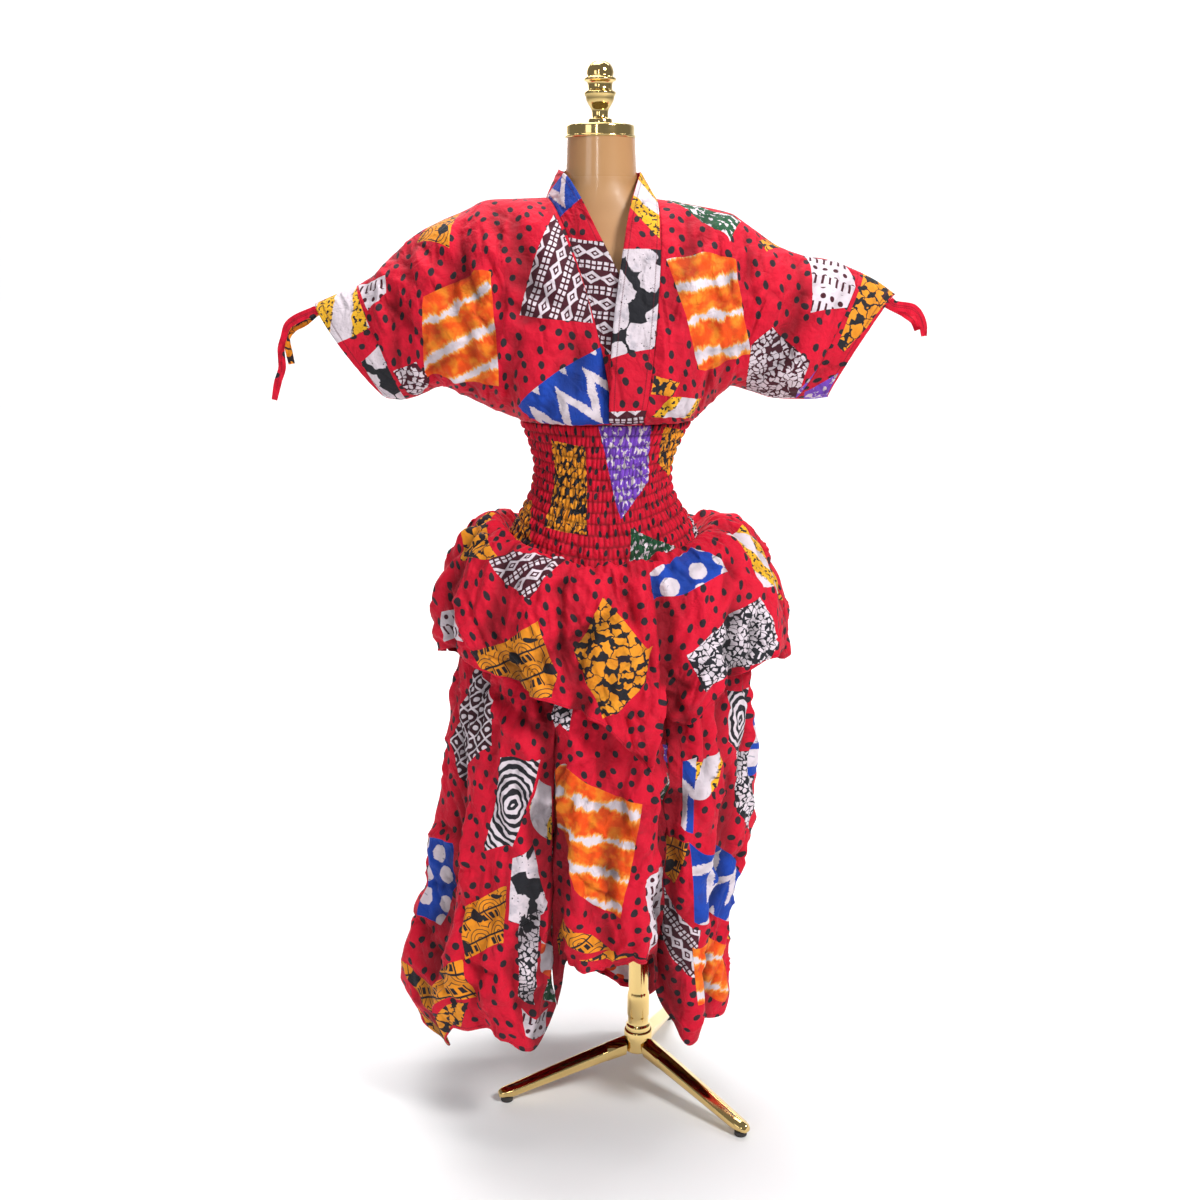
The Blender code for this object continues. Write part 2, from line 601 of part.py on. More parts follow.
# Smocked waist: rows of elastic shirring that hug the form and flare over the hips
SMOCK = [  # height above the hip seam as a share, centre x, half width, front depth, back depth
    (0.00, HIP_CENTRE, HIP_HALF_WIDTH, HIP_FRONT, HIP_BACK),
    (0.08, 0.0060, 0.1450, 0.1215, 0.1100),
    (0.20, 0.0050, 0.1310, 0.1105, 0.1035),
    (0.34, 0.0035, 0.1170, 0.0985, 0.0960),
    (0.46, 0.0035, 0.1095, 0.0920, 0.0915),
    (0.58, 0.0045, 0.1080, 0.0895, 0.0900),
    (0.70, 0.0055, 0.1115, 0.0905, 0.0910),
    (0.86, 0.0075, 0.1225, 0.0945, 0.0945),
    (1.00, WAIST_CENTRE, 0.1345, 0.0975, 0.0975),
]
SMOCK_WALL = 0.0020
SMOCK_RELIEF = 0.0030
SMOCK_ROWS = 13
SMOCK_PUCKERS = 24
HIP_SEAM_FRONT = 0.948
HIP_SEAM_SIDE = 0.984
HIP_SEAM_BACK = 0.962


def hip_height(turn):
    """Height of the hip seam, lowest in front: turn is 0 in front and grows to the right."""
    middle = HIP_SEAM_FRONT if cos(turn) > 0.0 else HIP_SEAM_BACK
    return middle + (HIP_SEAM_SIDE - middle) * sin(turn) ** 2


def around(centre, half_width, front, back, turn, height):
    depth = front if cos(turn) > 0.0 else back
    return Vector((centre + half_width * sin(turn), -depth * cos(turn), height))


def smock_surface(turn, share):
    centre, half_width, front, back = [column(SMOCK, share, c) for c in range(1, 5)]
    low = hip_height(turn) + GAP
    height = low + (WAIST_HEIGHT - low) * share
    return around(centre, half_width, front, back, turn, height)


def smock_relief(turn, share):
    """Puckers between the rows of shirring, shifted by half a pucker from row to row."""
    row = share * SMOCK_ROWS
    swell = abs(sin(pi * row)) ** 0.7
    shift = pi * (int(row) % 2)
    return SMOCK_RELIEF * swell * (0.62 + 0.38 * cos(SMOCK_PUCKERS * turn + shift))


def above_hip_seam(point):
    turn = atan2(point.x - HIP_CENTRE, -point.y)
    return Vector((point.x, point.y, min(max(point.z, hip_height(turn) + GAP), WAIST_HEIGHT)))


smock_turns = [2.0 * pi * k / (2 * SMOCK_PUCKERS) for k in range(2 * SMOCK_PUCKERS)]
smock_levels = spread(0.0, 1.0, 2 * SMOCK_ROWS)
cloth("smocked_waist", smock_surface, smock_turns, smock_levels, SMOCK_WALL, smock_relief,
      closed=True, inner_rows=spread(0.0, 1.0, 6), outward=Vector((0, 1, 0)), limit=above_hip_seam)


# Skirts: round the hips, with fold tables that grow from the seam down to the hem
def circular(folds, turn, share):
    """Sum of the folds at a turn in degrees, each a smooth ridge or valley round its middle."""
    total = 0.0
    for middle, height, width, start, drift in folds:
        away = (turn - middle - drift * share + 180.0) % 360.0 - 180.0
        growth = float(np.clip((share - start) / (1.0 - start), 0.0, 1.0)) ** 0.8
        total += height * growth * np.exp(-((away / width) ** 2))
    return float(total)


def blend_sides(front, right, back, left, turn):
    """Four values at the front, right, back and left, blended round the dress."""
    side = right if sin(turn) > 0.0 else left
    middle = front if cos(turn) > 0.0 else back
    return middle + (side - middle) * sin(turn) ** 2


OVERSKIRT_LIFT = 0.003   # the overskirt is sewn on just over the long skirt
OVERSKIRT = [  # share of the cloth, reach front, right, back, left, then rise front, right, back, left
    (0.00, 0.1286, 0.1526, 0.1146, 0.1526, 1.000, 1.000, 1.000, 1.000),
    (0.10, 0.152, 0.186, 0.143, 0.180, 1.045, 1.120, 1.060, 1.130),
    (0.22, 0.176, 0.226, 0.172, 0.212, 0.960, 1.075, 1.010, 1.080),
    (0.38, 0.196, 0.262, 0.199, 0.244, 0.760, 0.850, 0.800, 0.820),
    (0.55, 0.206, 0.288, 0.216, 0.264, 0.530, 0.590, 0.560, 0.540),
    (0.75, 0.211, 0.300, 0.226, 0.270, 0.280, 0.320, 0.300, 0.270),
    (1.00, 0.213, 0.302, 0.231, 0.262, 0.000, 0.000, 0.000, 0.000),
]
OVERSKIRT_HEM = [  # turn in degrees from the front, height
    (-180.0, 0.680), (-155.0, 0.735), (-130.0, 0.800), (-105.0, 0.770), (-88.0, 0.790),
    (-66.0, 0.815), (-46.0, 0.792), (-24.0, 0.765), (-12.0, 0.743), (-2.0, 0.732),
    (9.0, 0.690), (17.5, 0.655), (25.0, 0.738), (32.0, 0.722), (40.0, 0.762),
    (54.0, 0.792), (72.0, 0.815), (90.0, 0.775), (108.0, 0.800), (132.0, 0.760),
    (156.0, 0.705), (180.0, 0.680),
]
OVERSKIRT_FOLDS = [  # middle in degrees, height, width in degrees, start, drift down the cloth
    (-166.0, -0.018, 7.0, 0.15, -3.0), (-149.0, 0.014, 8.0, 0.20, 2.0),
    (-133.0, -0.020, 7.0, 0.10, 3.0), (-117.0, 0.016, 8.0, 0.15, -2.0),
    (-99.0, -0.018, 7.0, 0.20, 2.0), (-84.0, 0.012, 7.0, 0.10, 3.0),
    (-70.0, -0.020, 6.0, 0.15, -2.0), (-57.0, 0.014, 7.0, 0.10, 2.0),
    (-42.0, -0.020, 6.0, 0.20, 3.0), (-27.0, 0.014, 8.0, 0.10, 0.0),
    (-11.0, -0.016, 6.0, 0.25, -2.0), (3.0, 0.010, 7.0, 0.10, 1.0),
    (16.0, 0.017, 5.5, 0.15, 2.0), (25.5, -0.026, 5.0, 0.10, 1.0),
    (38.0, 0.016, 7.0, 0.15, 2.0), (52.0, -0.013, 6.5, 0.20, -2.0),
    (66.0, 0.011, 8.0, 0.15, 2.0), (82.0, -0.014, 7.0, 0.20, 0.0),
    (98.0, 0.012, 7.5, 0.20, -2.0), (114.0, -0.018, 7.0, 0.15, 2.0),
    (131.0, 0.015, 8.0, 0.20, 0.0), (147.0, -0.018, 7.0, 0.15, -2.0),
    (163.0, 0.014, 8.0, 0.15, 2.0),
]


def overskirt_surface(turn, share):
    reach = blend_sides(*[column(OVERSKIRT, share, c) for c in (1, 2, 3, 4)], turn)
    rise = blend_sides(*[column(OVERSKIRT, share, c) for c in (5, 6, 7, 8)], turn)
    angle = degrees(atan2(sin(turn), cos(turn)))
    reach += circular(OVERSKIRT_FOLDS, angle, share)
    hem = column(OVERSKIRT_HEM, angle, 1)
    seam = hip_height(turn) + OVERSKIRT_LIFT
    return Vector((HIP_CENTRE + reach * sin(turn), -reach * cos(turn), hem + (seam - hem) * rise))


LOWER_SKIRT = [  # share of the way down, reach front, right, back, left
    (0.00, 0.128, 0.152, 0.114, 0.152),
    (0.06, 0.144, 0.186, 0.134, 0.186),
    (0.15, 0.158, 0.212, 0.158, 0.214),
    (0.28, 0.174, 0.230, 0.178, 0.242),
    (0.40, 0.188, 0.240, 0.192, 0.256),
    (0.52, 0.198, 0.240, 0.204, 0.265),
    (0.64, 0.206, 0.236, 0.214, 0.286),
    (0.72, 0.208, 0.218, 0.218, 0.292),
    (0.82, 0.210, 0.206, 0.214, 0.320),
    (0.92, 0.206, 0.202, 0.206, 0.338),
    (1.00, 0.196, 0.194, 0.194, 0.318),
]
LOWER_HEM = [  # turn in degrees from the front, height
    (-180.0, 0.105), (-160.0, 0.150), (-138.0, 0.110), (-118.0, 0.165), (-98.0, 0.150),
    (-82.0, 0.175), (-68.0, 0.130), (-54.0, 0.195), (-42.0, 0.200), (-31.0, 0.165),
    (-24.0, 0.245), (-18.0, 0.322), (-6.0, 0.312), (6.0, 0.314), (18.0, 0.330),
    (26.0, 0.325), (34.0, 0.235), (44.0, 0.150), (56.0, 0.180), (72.0, 0.155),
    (90.0, 0.175), (112.0, 0.150), (134.0, 0.150), (152.0, 0.085), (168.0, 0.080),
    (180.0, 0.105),
]
LOWER_FOLDS = [  # middle in degrees, height, width in degrees, start, drift down the cloth
    (-172.0, 0.018, 7.0, 0.05, 2.0), (-157.0, -0.024, 7.0, 0.10, -2.0),
    (-141.0, 0.022, 7.5, 0.05, 2.0), (-125.0, -0.026, 7.0, 0.10, 0.0),
    (-109.0, 0.020, 7.0, 0.05, -2.0), (-95.0, -0.024, 6.0, 0.10, 2.0),
    (-82.0, 0.018, 6.0, 0.10, -2.0), (-69.0, -0.020, 6.0, 0.05, 2.0),
    (-55.0, 0.020, 7.0, 0.05, -2.0), (-40.0, 0.014, 7.0, 0.10, 2.0),
    (-25.0, -0.040, 6.5, 0.02, 1.0), (-10.0, 0.014, 7.0, 0.10, 0.0),
    (4.0, -0.010, 6.0, 0.20, 1.0), (17.0, 0.014, 7.0, 0.05, -1.0),
    (32.0, -0.038, 6.5, 0.02, 1.0), (46.0, 0.018, 7.0, 0.10, 2.0),
    (61.0, -0.020, 6.5, 0.10, -2.0), (76.0, 0.018, 7.0, 0.05, 2.0),
    (92.0, -0.022, 6.5, 0.10, 0.0), (107.0, 0.018, 7.0, 0.05, -2.0),
    (123.0, -0.024, 7.0, 0.10, 2.0), (140.0, 0.020, 7.5, 0.05, 2.0),
    (157.0, -0.024, 7.0, 0.10, -2.0), (173.0, 0.012, 6.0, 0.10, 0.0),
]


def lower_surface(turn, share):
    reach = blend_sides(*[column(LOWER_SKIRT, share, c) for c in (1, 2, 3, 4)], turn)
    angle = degrees(atan2(sin(turn), cos(turn)))
    reach += circular(LOWER_FOLDS, angle, share)
    hem = column(LOWER_HEM, angle, 1)
    seam = hip_height(turn)
    return Vector((HIP_CENTRE + reach * sin(turn), -reach * cos(turn), seam + (hem - seam) * share))


def skirt_panel(name, surface, first, last, columns, levels):
    """A panel between two seams, given in degrees and parted from its neighbours at the hip."""
    edge = degrees(GAP / 2 / 0.15)
    turns = [radians(turn) for turn in spread(first + edge, last - edge, columns)]
    middle = radians((first + last) / 2.0)
    outward = Vector((sin(middle), -cos(middle), 0.0))
    cloth(name, surface, turns, levels, outward=outward)


OVERSKIRT_LEVELS = [0.0, 0.05, 0.11, 0.20, 0.32, 0.46, 0.62, 0.80, 1.0]
skirt_panel("overskirt_front", overskirt_surface, -90.0, 90.0, 34, OVERSKIRT_LEVELS)
skirt_panel("overskirt_back", overskirt_surface, 90.0, 270.0, 32, OVERSKIRT_LEVELS)
LOWER_LEVELS = [0.0, 0.05, 0.14, 0.26, 0.40, 0.54, 0.68, 0.80, 0.91, 1.0]
skirt_panel("skirt_front", lower_surface, -25.0, 32.0, 12, LOWER_LEVELS)
skirt_panel("skirt_right", lower_surface, 32.0, 123.0, 18, LOWER_LEVELS)
skirt_panel("skirt_back", lower_surface, 123.0, 235.0, 22, LOWER_LEVELS)
skirt_panel("skirt_left", lower_surface, 235.0, 335.0, 20, LOWER_LEVELS)

# The origin goes under the middle of the whole, on the floor
bpy.context.view_layer.update()
pieces = [thing for thing in bpy.data.objects if thing.type == "MESH"]
corners = [piece.matrix_world @ vertex.co for piece in pieces for vertex in piece.data.vertices]
low = Vector([min(corner[axis] for corner in corners) for axis in range(3)])
high = Vector([max(corner[axis] for corner in corners) for axis in range(3)])
shift = Vector((-(low.x + high.x) / 2.0, -(low.y + high.y) / 2.0, -low.z))
for piece in pieces:
    piece.location += shift
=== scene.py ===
"""A patchwork handkerchief dress on a dress form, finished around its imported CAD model.

Metres, +Z up. The dress faces -Y. Sizes are given from the middle of the form's neck and the
floor, and PLACE moves them to the frame, where the origin is under the middle of the whole.
"""

from math import cos, pi, radians, sin, tau

import bmesh
import bpy
import numpy as np
from mathutils import Matrix, Vector


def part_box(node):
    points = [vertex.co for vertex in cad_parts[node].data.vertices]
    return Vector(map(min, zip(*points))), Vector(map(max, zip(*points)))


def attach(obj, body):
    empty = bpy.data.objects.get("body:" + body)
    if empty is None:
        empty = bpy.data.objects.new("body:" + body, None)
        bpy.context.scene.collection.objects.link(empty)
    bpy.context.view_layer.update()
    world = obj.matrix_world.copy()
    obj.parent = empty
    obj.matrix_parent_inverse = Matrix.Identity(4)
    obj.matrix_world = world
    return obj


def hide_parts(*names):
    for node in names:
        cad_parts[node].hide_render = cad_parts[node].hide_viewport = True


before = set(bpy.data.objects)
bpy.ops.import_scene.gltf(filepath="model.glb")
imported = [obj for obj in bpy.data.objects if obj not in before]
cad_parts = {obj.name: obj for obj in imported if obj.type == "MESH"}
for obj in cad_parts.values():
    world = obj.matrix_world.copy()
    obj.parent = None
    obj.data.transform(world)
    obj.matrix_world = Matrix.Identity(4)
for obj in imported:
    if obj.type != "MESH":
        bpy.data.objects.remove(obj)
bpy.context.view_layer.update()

# Place
# The stand's pole is straight and upright, so its packed box gives the place of the whole: its
# axis stands 67 mm to the right of the neck's.
POLE_X = 0.067
pole_low, pole_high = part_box("pole")
PLACE = np.array([(pole_low.x + pole_high.x) / 2 - POLE_X, (pole_low.y + pole_high.y) / 2, 0.0])

# Camera
# The photo was taken from 2.43 m in front of the neck and 1.43 m up, tipped 12.8 degrees down.
PHOTO_SIZE = 1200.0
FOCAL_PIXELS = 1516.0
PHOTO_MIDDLE = (601.0, 600.0)
CAMERA_PLACE = np.array([0.0, -2.43, 1.426])
CAMERA_TIP = radians(12.8)
SENSOR = 36.0

camera = bpy.data.objects.new("camera", bpy.data.cameras.new("camera"))
camera.data.sensor_width = SENSOR
camera.data.lens = FOCAL_PIXELS * SENSOR / PHOTO_SIZE
camera.location = CAMERA_PLACE + PLACE
camera.rotation_euler = (pi / 2 - CAMERA_TIP, 0.0, 0.0)
bpy.context.scene.collection.objects.link(camera)
bpy.context.scene.camera = camera


def pixels_of(points):
    """Where the photo shows each point, as columns across and down."""
    away = points - CAMERA_PLACE
    depth = away[..., 1] * cos(CAMERA_TIP) - away[..., 2] * sin(CAMERA_TIP)
    rise = away[..., 1] * sin(CAMERA_TIP) + away[..., 2] * cos(CAMERA_TIP)
    return np.stack([PHOTO_MIDDLE[0] + FOCAL_PIXELS * away[..., 0] / depth,
                     PHOTO_MIDDLE[1] - FOCAL_PIXELS * rise / depth], axis=-1)


# Form
# A hollow moulded shell in glossy tan, without limbs. Its neck and a little of its chest show.
class Value:
    """A number or a vector that a finish works out at each point. Its operators add nodes."""

    def __init__(self, finish, socket):
        self.finish = finish
        self.socket = socket

    def math(self, operation, *others):
        node = self.finish.node("ShaderNodeMath", {"operation": operation}, [self, *others])
        return Value(self.finish, node.outputs[0])

    def __add__(self, other):
        return self.math("ADD", other)

    def __sub__(self, other):
        return self.math("SUBTRACT", other)

    def __rsub__(self, other):
        return self.math("MULTIPLY_ADD", -1.0, other)

    def __mul__(self, other):
        return self.math("MULTIPLY", other)

    def __truediv__(self, other):
        return self.math("DIVIDE", other)

    def __gt__(self, other):
        return self.math("GREATER_THAN", other)

    def __lt__(self, other):
        return self.math("LESS_THAN", other)

    __radd__ = __add__
    __rmul__ = __mul__

    def size(self):
        return self.math("ABSOLUTE")

    def larger(self, other):
        return self.math("MAXIMUM", other)

    def wave(self):
        return self.math("SINE")

    def saw(self, pitch):
        """0 to 1 across each repeat of a pitch."""
        return (self / pitch).math("FRACT")

    def tile(self, pitch):
        """-0.5 to 0.5 across each repeat of a pitch, 0 in its middle."""
        return self.saw(pitch) - 0.5

    def hypotenuse(self, other):
        """The distance that two distances set square make."""
        return (self * self + other * other).math("SQRT")

    def soft(self, low, high):
        """0 under low and 1 over high, or the other way round where low is the larger."""
        sockets = {"Value": self, "From Min": low, "From Max": high}
        node = self.finish.node("ShaderNodeMapRange", {"interpolation_type": "SMOOTHSTEP"}, sockets)
        return Value(self.finish, node.outputs["Result"])


class Finish:
    """A material, built node by node on one Principled shader."""

    def __init__(self, name, **constants):
        self.material = bpy.data.materials.new(name)
        self.material.use_nodes = True
        self.tree = self.material.node_tree
        self.shader = self.tree.nodes["Principled BSDF"]
        for socket, value in constants.items():
            self.shader.inputs[socket.replace("_", " ")].default_value = value

    def node(self, kind, settings=None, sockets=()):
        node = self.tree.nodes.new(kind)
        for name, value in (settings or {}).items():
            setattr(node, name, value)
        pairs = sockets.items() if isinstance(sockets, dict) else enumerate(sockets)
        for name, value in pairs:
            if isinstance(value, Value):
                self.tree.links.new(value.socket, node.inputs[name])
            else:
                node.inputs[name].default_value = value
        return node

    def value(self, kind, output, settings=None, sockets=()):
        return Value(self, self.node(kind, settings, sockets).outputs[output])

    def join(self, socket, value):
        self.tree.links.new(value.socket, self.shader.inputs[socket])

    def point(self):
        """The place on the object, in metres."""
        return self.value("ShaderNodeTexCoord", "Object")

    def attribute(self, name):
        """A number kept at each of the mesh's points, 0 where a mesh has none."""
        return self.value("ShaderNodeAttribute", "Fac", {"attribute_name": name})

    def cloth_point(self):
        """The place on the flat cloth, in metres."""
        return self.value("ShaderNodeUVMap", "UV", {"uv_map": "cloth"})

    def split(self, vector):
        node = self.node("ShaderNodeSeparateXYZ", None, [vector])
        return [Value(self, output) for output in node.outputs]

    def noise(self, place, scale, detail=2.0, roughness=0.5, flat=False):
        settings = {"noise_dimensions": "2D" if flat else "3D"}
        sockets = {"Vector": place, "Scale": scale, "Detail": detail, "Roughness": roughness}
        return self.value("ShaderNodeTexNoise", "Fac", settings, sockets)

    def cells(self, place, scale, feature="F1", randomness=1.0):
        settings = {"voronoi_dimensions": "2D", "feature": feature}
        sockets = {"Vector": place, "Scale": scale, "Randomness": randomness}
        return self.node("ShaderNodeTexVoronoi", settings, sockets)

    def cell_distance(self, place, scale, feature="F1", randomness=1.0):
        """How far each point is from its cell's middle, or from the cell's edge."""
        return Value(self, self.cells(place, scale, feature, randomness).outputs["Distance"])

    def mix(self, mask, first, second):
        """The first colour where the mask is 0 and the second where it is 1."""
        node = self.tree.nodes.new("ShaderNodeMix")
        node.data_type = "RGBA"
        for socket, value in (("Factor_Float", mask), ("A_Color", first), ("B_Color", second)):
            target = next(item for item in node.inputs if item.identifier == socket)
            if isinstance(value, Value):
                self.tree.links.new(value.socket, target)
            elif socket == "Factor_Float":
                target.default_value = value
            else:
                target.default_value = (*value, 1.0)
        result = next(item for item in node.outputs if item.identifier == "Result_Color")
        return Value(self, result)

    def warp(self, place, scale, reach, detail=2.0, flat=True):
        """A place moved a little each way, so that what is drawn there wanders."""
        settings = {"noise_dimensions": "2D" if flat else "3D"}
        sockets = {"Vector": place, "Scale": scale, "Detail": detail}
        colour = self.value("ShaderNodeTexNoise", "Color", settings, sockets)
        centred = self.vector("SUBTRACT", colour, (0.5, 0.5, 0.5))
        return self.vector("ADD", place, self.vector("SCALE", centred, scale_by=reach))

    def vector(self, operation, first, second=None, scale_by=None):
        sockets = {0: first}
        if second is not None:
            sockets[1] = second
        if scale_by is not None:
            sockets["Scale"] = scale_by
        return self.value("ShaderNodeVectorMath", "Vector", {"operation": operation}, sockets)

    def bump(self, height, distance, strength, under=None):
        sockets = {"Height": height, "Distance": distance, "Strength": strength}
        if under is not None:
            sockets["Normal"] = under
        return self.value("ShaderNodeBump", "Normal", None, sockets)


def colour_of(red, green, blue):
    """A colour as a screen shows it, 0 to 255, in the light's own scale."""
    shares = [channel / 255.0 for channel in (red, green, blue)]
    return tuple(s / 12.92 if s <= 0.04045 else ((s + 0.055) / 1.055) ** 2.4 for s in shares)


def column(rows, x, value):
    """Read one column of a table at every x, along a curve that keeps between its rows."""
    x = np.asarray(x, float)
    knots = np.array([row[0] for row in rows])
    values = np.array([row[value] for row in rows])
    steps = np.diff(knots)
    slopes = np.diff(values) / steps
    before, after = slopes[:-1], slopes[1:]
    total = np.where(before + after == 0.0, 1.0, before + after)
    inner = np.where(before * after > 0.0, 2.0 * before * after / total, 0.0)
    tangents = np.concatenate([slopes[:1], inner, slopes[-1:]])
    i = np.clip(np.searchsorted(knots, x) - 1, 0, len(steps) - 1)
    h = steps[i]
    t = np.clip((x - knots[i]) / h, 0.0, 1.0)
    return ((2 * t**3 - 3 * t**2 + 1) * values[i] + (t**3 - 2 * t**2 + t) * h * tangents[i]
            + (3 * t**2 - 2 * t**3) * values[i + 1] + (t**3 - t**2) * h * tangents[i + 1])


def columns(rows, x, *values):
    """Read several columns of a table at every x."""
    return [column(rows, x, value) for value in values]


def close_up(bm):
    """Fill the open ends of a mesh and turn all its faces outward."""
    bmesh.ops.holes_fill(bm, edges=[edge for edge in bm.edges if edge.is_boundary])
    bmesh.ops.recalc_face_normals(bm, faces=bm.faces)


def piece_of(bm, name, material, node, angle=35.0):
    """Make a finished piece of a closed mesh, riding on the frame in the place of its node."""
    bmesh.ops.translate(bm, verts=bm.verts, vec=Vector(PLACE))
    mesh = bpy.data.meshes.new(name)
    bm.to_mesh(mesh)
    bm.free()
    mesh.materials.append(material)
    mesh.shade_smooth()
    mesh.set_sharp_from_angle(angle=radians(angle))
    piece = bpy.data.objects.new(name, mesh)
    bpy.context.scene.collection.objects.link(piece)
    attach(piece, "root")
    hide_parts(node)
    return piece


FORM_TOP = 1.6015
FORM_BASE = 0.768
FORM = [  # height, centre x, centre y, half width, half depth
    (FORM_BASE, 0.040, 0.000, 0.080, 0.070),
    (0.774, 0.034, 0.000, 0.104, 0.086),
    (0.795, 0.022, 0.000, 0.134, 0.106),
    (0.840, 0.012, 0.000, 0.158, 0.122),
    (0.885, 0.008, 0.000, 0.162, 0.122),
    (0.930, 0.006, 0.000, 0.156, 0.116),
    (0.970, 0.005, 0.000, 0.142, 0.106),
    (1.010, 0.004, 0.000, 0.124, 0.096),
    (1.045, 0.004, 0.000, 0.1105, 0.0885),
    (1.075, 0.004, 0.000, 0.1050, 0.0860),
    (1.095, 0.005, 0.000, 0.1048, 0.0864),
    (1.115, 0.0055, 0.000, 0.1078, 0.0874),
    (1.140, 0.007, 0.000, 0.1170, 0.0885),
    (1.166, 0.009, 0.000, 0.1285, 0.0900),
    (1.220, 0.008, -0.001, 0.1310, 0.0915),
    (1.300, 0.006, -0.005, 0.1420, 0.0960),
    (1.370, 0.004, -0.005, 0.1510, 0.0950),
    (1.425, 0.003, -0.002, 0.1560, 0.089),
    (1.462, 0.002, 0.002, 0.1400, 0.0765),
    (1.490, 0.001, 0.002, 0.1050, 0.0660),
    (1.508, 0.001, 0.000, 0.0760, 0.0610),
    (1.530, 0.001, 0.000, 0.0585, 0.0575),
    (1.565, 0.001, 0.000, 0.0550, 0.0550),
    (FORM_TOP, 0.001, 0.000, 0.0535, 0.0535),
]
FORM_RINGS = 90
FORM_SIDES = 96
GLOSS_HEIGHTS = (1.512, 1.552)  # matt under the first, glossy over the second

tan = Finish("glossy tan shell", Coat_Roughness=0.10)
_, _, form_height = tan.split(tan.point())
polished = form_height.soft(*GLOSS_HEIGHTS)
tan.join("Roughness", 0.52 - polished * 0.28)
tan.join("Coat Weight", polished * 0.55 + 0.03)
cloud = tan.noise(tan.point(), 9.0, 3.0)
tan.join("Base Color", tan.mix(cloud, colour_of(176, 128, 82), colour_of(198, 152, 104)))
orange_peel = tan.noise(tan.point(), 420.0, 1.0)
tan.join("Normal", tan.bump(orange_peel, 0.0001, 0.12))

form = bmesh.new()
for height in np.linspace(FORM_BASE, FORM_TOP, FORM_RINGS):
    ring = bmesh.ops.create_circle(form, segments=FORM_SIDES, radius=1.0)["verts"]
    centre_x, centre_y, half_width, half_depth = map(float, columns(FORM, height, 1, 2, 3, 4))
    place = Matrix.Translation((centre_x, centre_y, height))
    shape = place @ Matrix.Diagonal((half_width, half_depth, 1, 1))
    bmesh.ops.transform(form, matrix=shape, verts=ring)
bmesh.ops.bridge_loops(form, edges=form.edges)
close_up(form)
piece_of(form, "form_shell", tan.material, "form_torso")

# Neck cap, finial and pole
# Turned and polished, the cap and finial in brass, the pole and hub in steel plated like it. The
# cap closes the neck, the finial screws into it, and the pole with its collars carries the form.
GAP = 0.0003             # between solids that touch
CAP_BASE = FORM_TOP + GAP
HUB_TOP = 0.104
HUB_BASE = 0.064
HUB_RADIUS = 0.0245
TURNED = {  # piece: node, its axis, its profile as radius and height from the top down
    "cap": ("neck_cap", 0.0, [
        (0.0470, 1.6212), (0.0505, 1.6212), (0.0522, 1.6205), (0.0532, 1.6190), (0.0534, 1.6175),
        (0.0534, 1.6068), (0.0536, 1.6056), (0.0548, 1.6052), (0.0552, 1.6046), (0.0552, 1.6034),
        (0.0546, 1.6022), (0.0540, CAP_BASE)]),
    "finial_knob": ("finial", 0.0, [
        (0.0030, 1.7150), (0.0072, 1.7146), (0.0110, 1.7135), (0.0146, 1.7115), (0.0175, 1.7086),
        (0.0198, 1.7046), (0.0210, 1.7000), (0.0212, 1.6966), (0.0206, 1.6932), (0.0212, 1.6916),
        (0.0232, 1.6906), (0.0248, 1.6894), (0.0253, 1.6877), (0.0246, 1.6860), (0.0222, 1.6846),
        (0.0200, 1.6834), (0.0192, 1.6805), (0.0191, 1.6770), (0.0193, 1.6738), (0.0206, 1.6718),
        (0.0234, 1.6702), (0.0246, 1.6688), (0.0248, 1.6672), (0.0240, 1.6654), (0.0226, 1.6630),
        (0.0222, 1.6600), (0.0208, 1.6558), (0.0186, 1.6518), (0.0160, 1.6478), (0.0140, 1.6446),
        (0.0131, 1.6420), (0.0128, 1.6395), (0.0128, 1.6335), (0.0134, 1.6318), (0.0160, 1.6308),
        (0.0184, 1.6300), (0.0191, 1.6286), (0.0192, 1.6215)]),
    "pole_tube": ("pole", POLE_X, [
        (0.0300, FORM_BASE - GAP), (0.0300, 0.7590), (0.0290, 0.7580), (0.0180, 0.7545),
        (0.0170, 0.7530), (0.0170, 0.1770), (0.0176, 0.1745), (0.0186, 0.1715), (0.0193, 0.1660),
        (0.0195, 0.1600), (0.0195, 0.1330), (0.0192, 0.1305), (0.0183, 0.1290), (0.0182, 0.1275),
        (0.0182, 0.1165), (0.0188, 0.1145), (0.0206, 0.1130), (0.0214, 0.1115), (0.0215, HUB_TOP + GAP)]),
    "hub_barrel": ("hub", POLE_X, [
        (0.0222, HUB_TOP), (0.0236, HUB_TOP - 0.0006), (0.0245, HUB_TOP - 0.0025),
        (HUB_RADIUS, HUB_BASE + 0.0045), (0.0236, HUB_BASE + 0.0020), (0.0200, HUB_BASE)]),
}
TURNED_SIDES = 96
MERGE = 1e-6             # points nearer than this are one

gold = Finish("polished gold plate", Metallic=1.0)
gold.join("Base Color", gold.mix(gold.noise(gold.point(), 14.0, 2.0),
                                 colour_of(236, 208, 142), colour_of(220, 186, 118)))
smear = gold.noise(gold.point(), 60.0, 4.0, 0.6)
gold.join("Roughness", smear.soft(0.3, 0.8) * 0.09 + 0.07)
gold.join("Normal", gold.bump(gold.noise(gold.point(), 900.0, 1.0), 0.0001, 0.05))


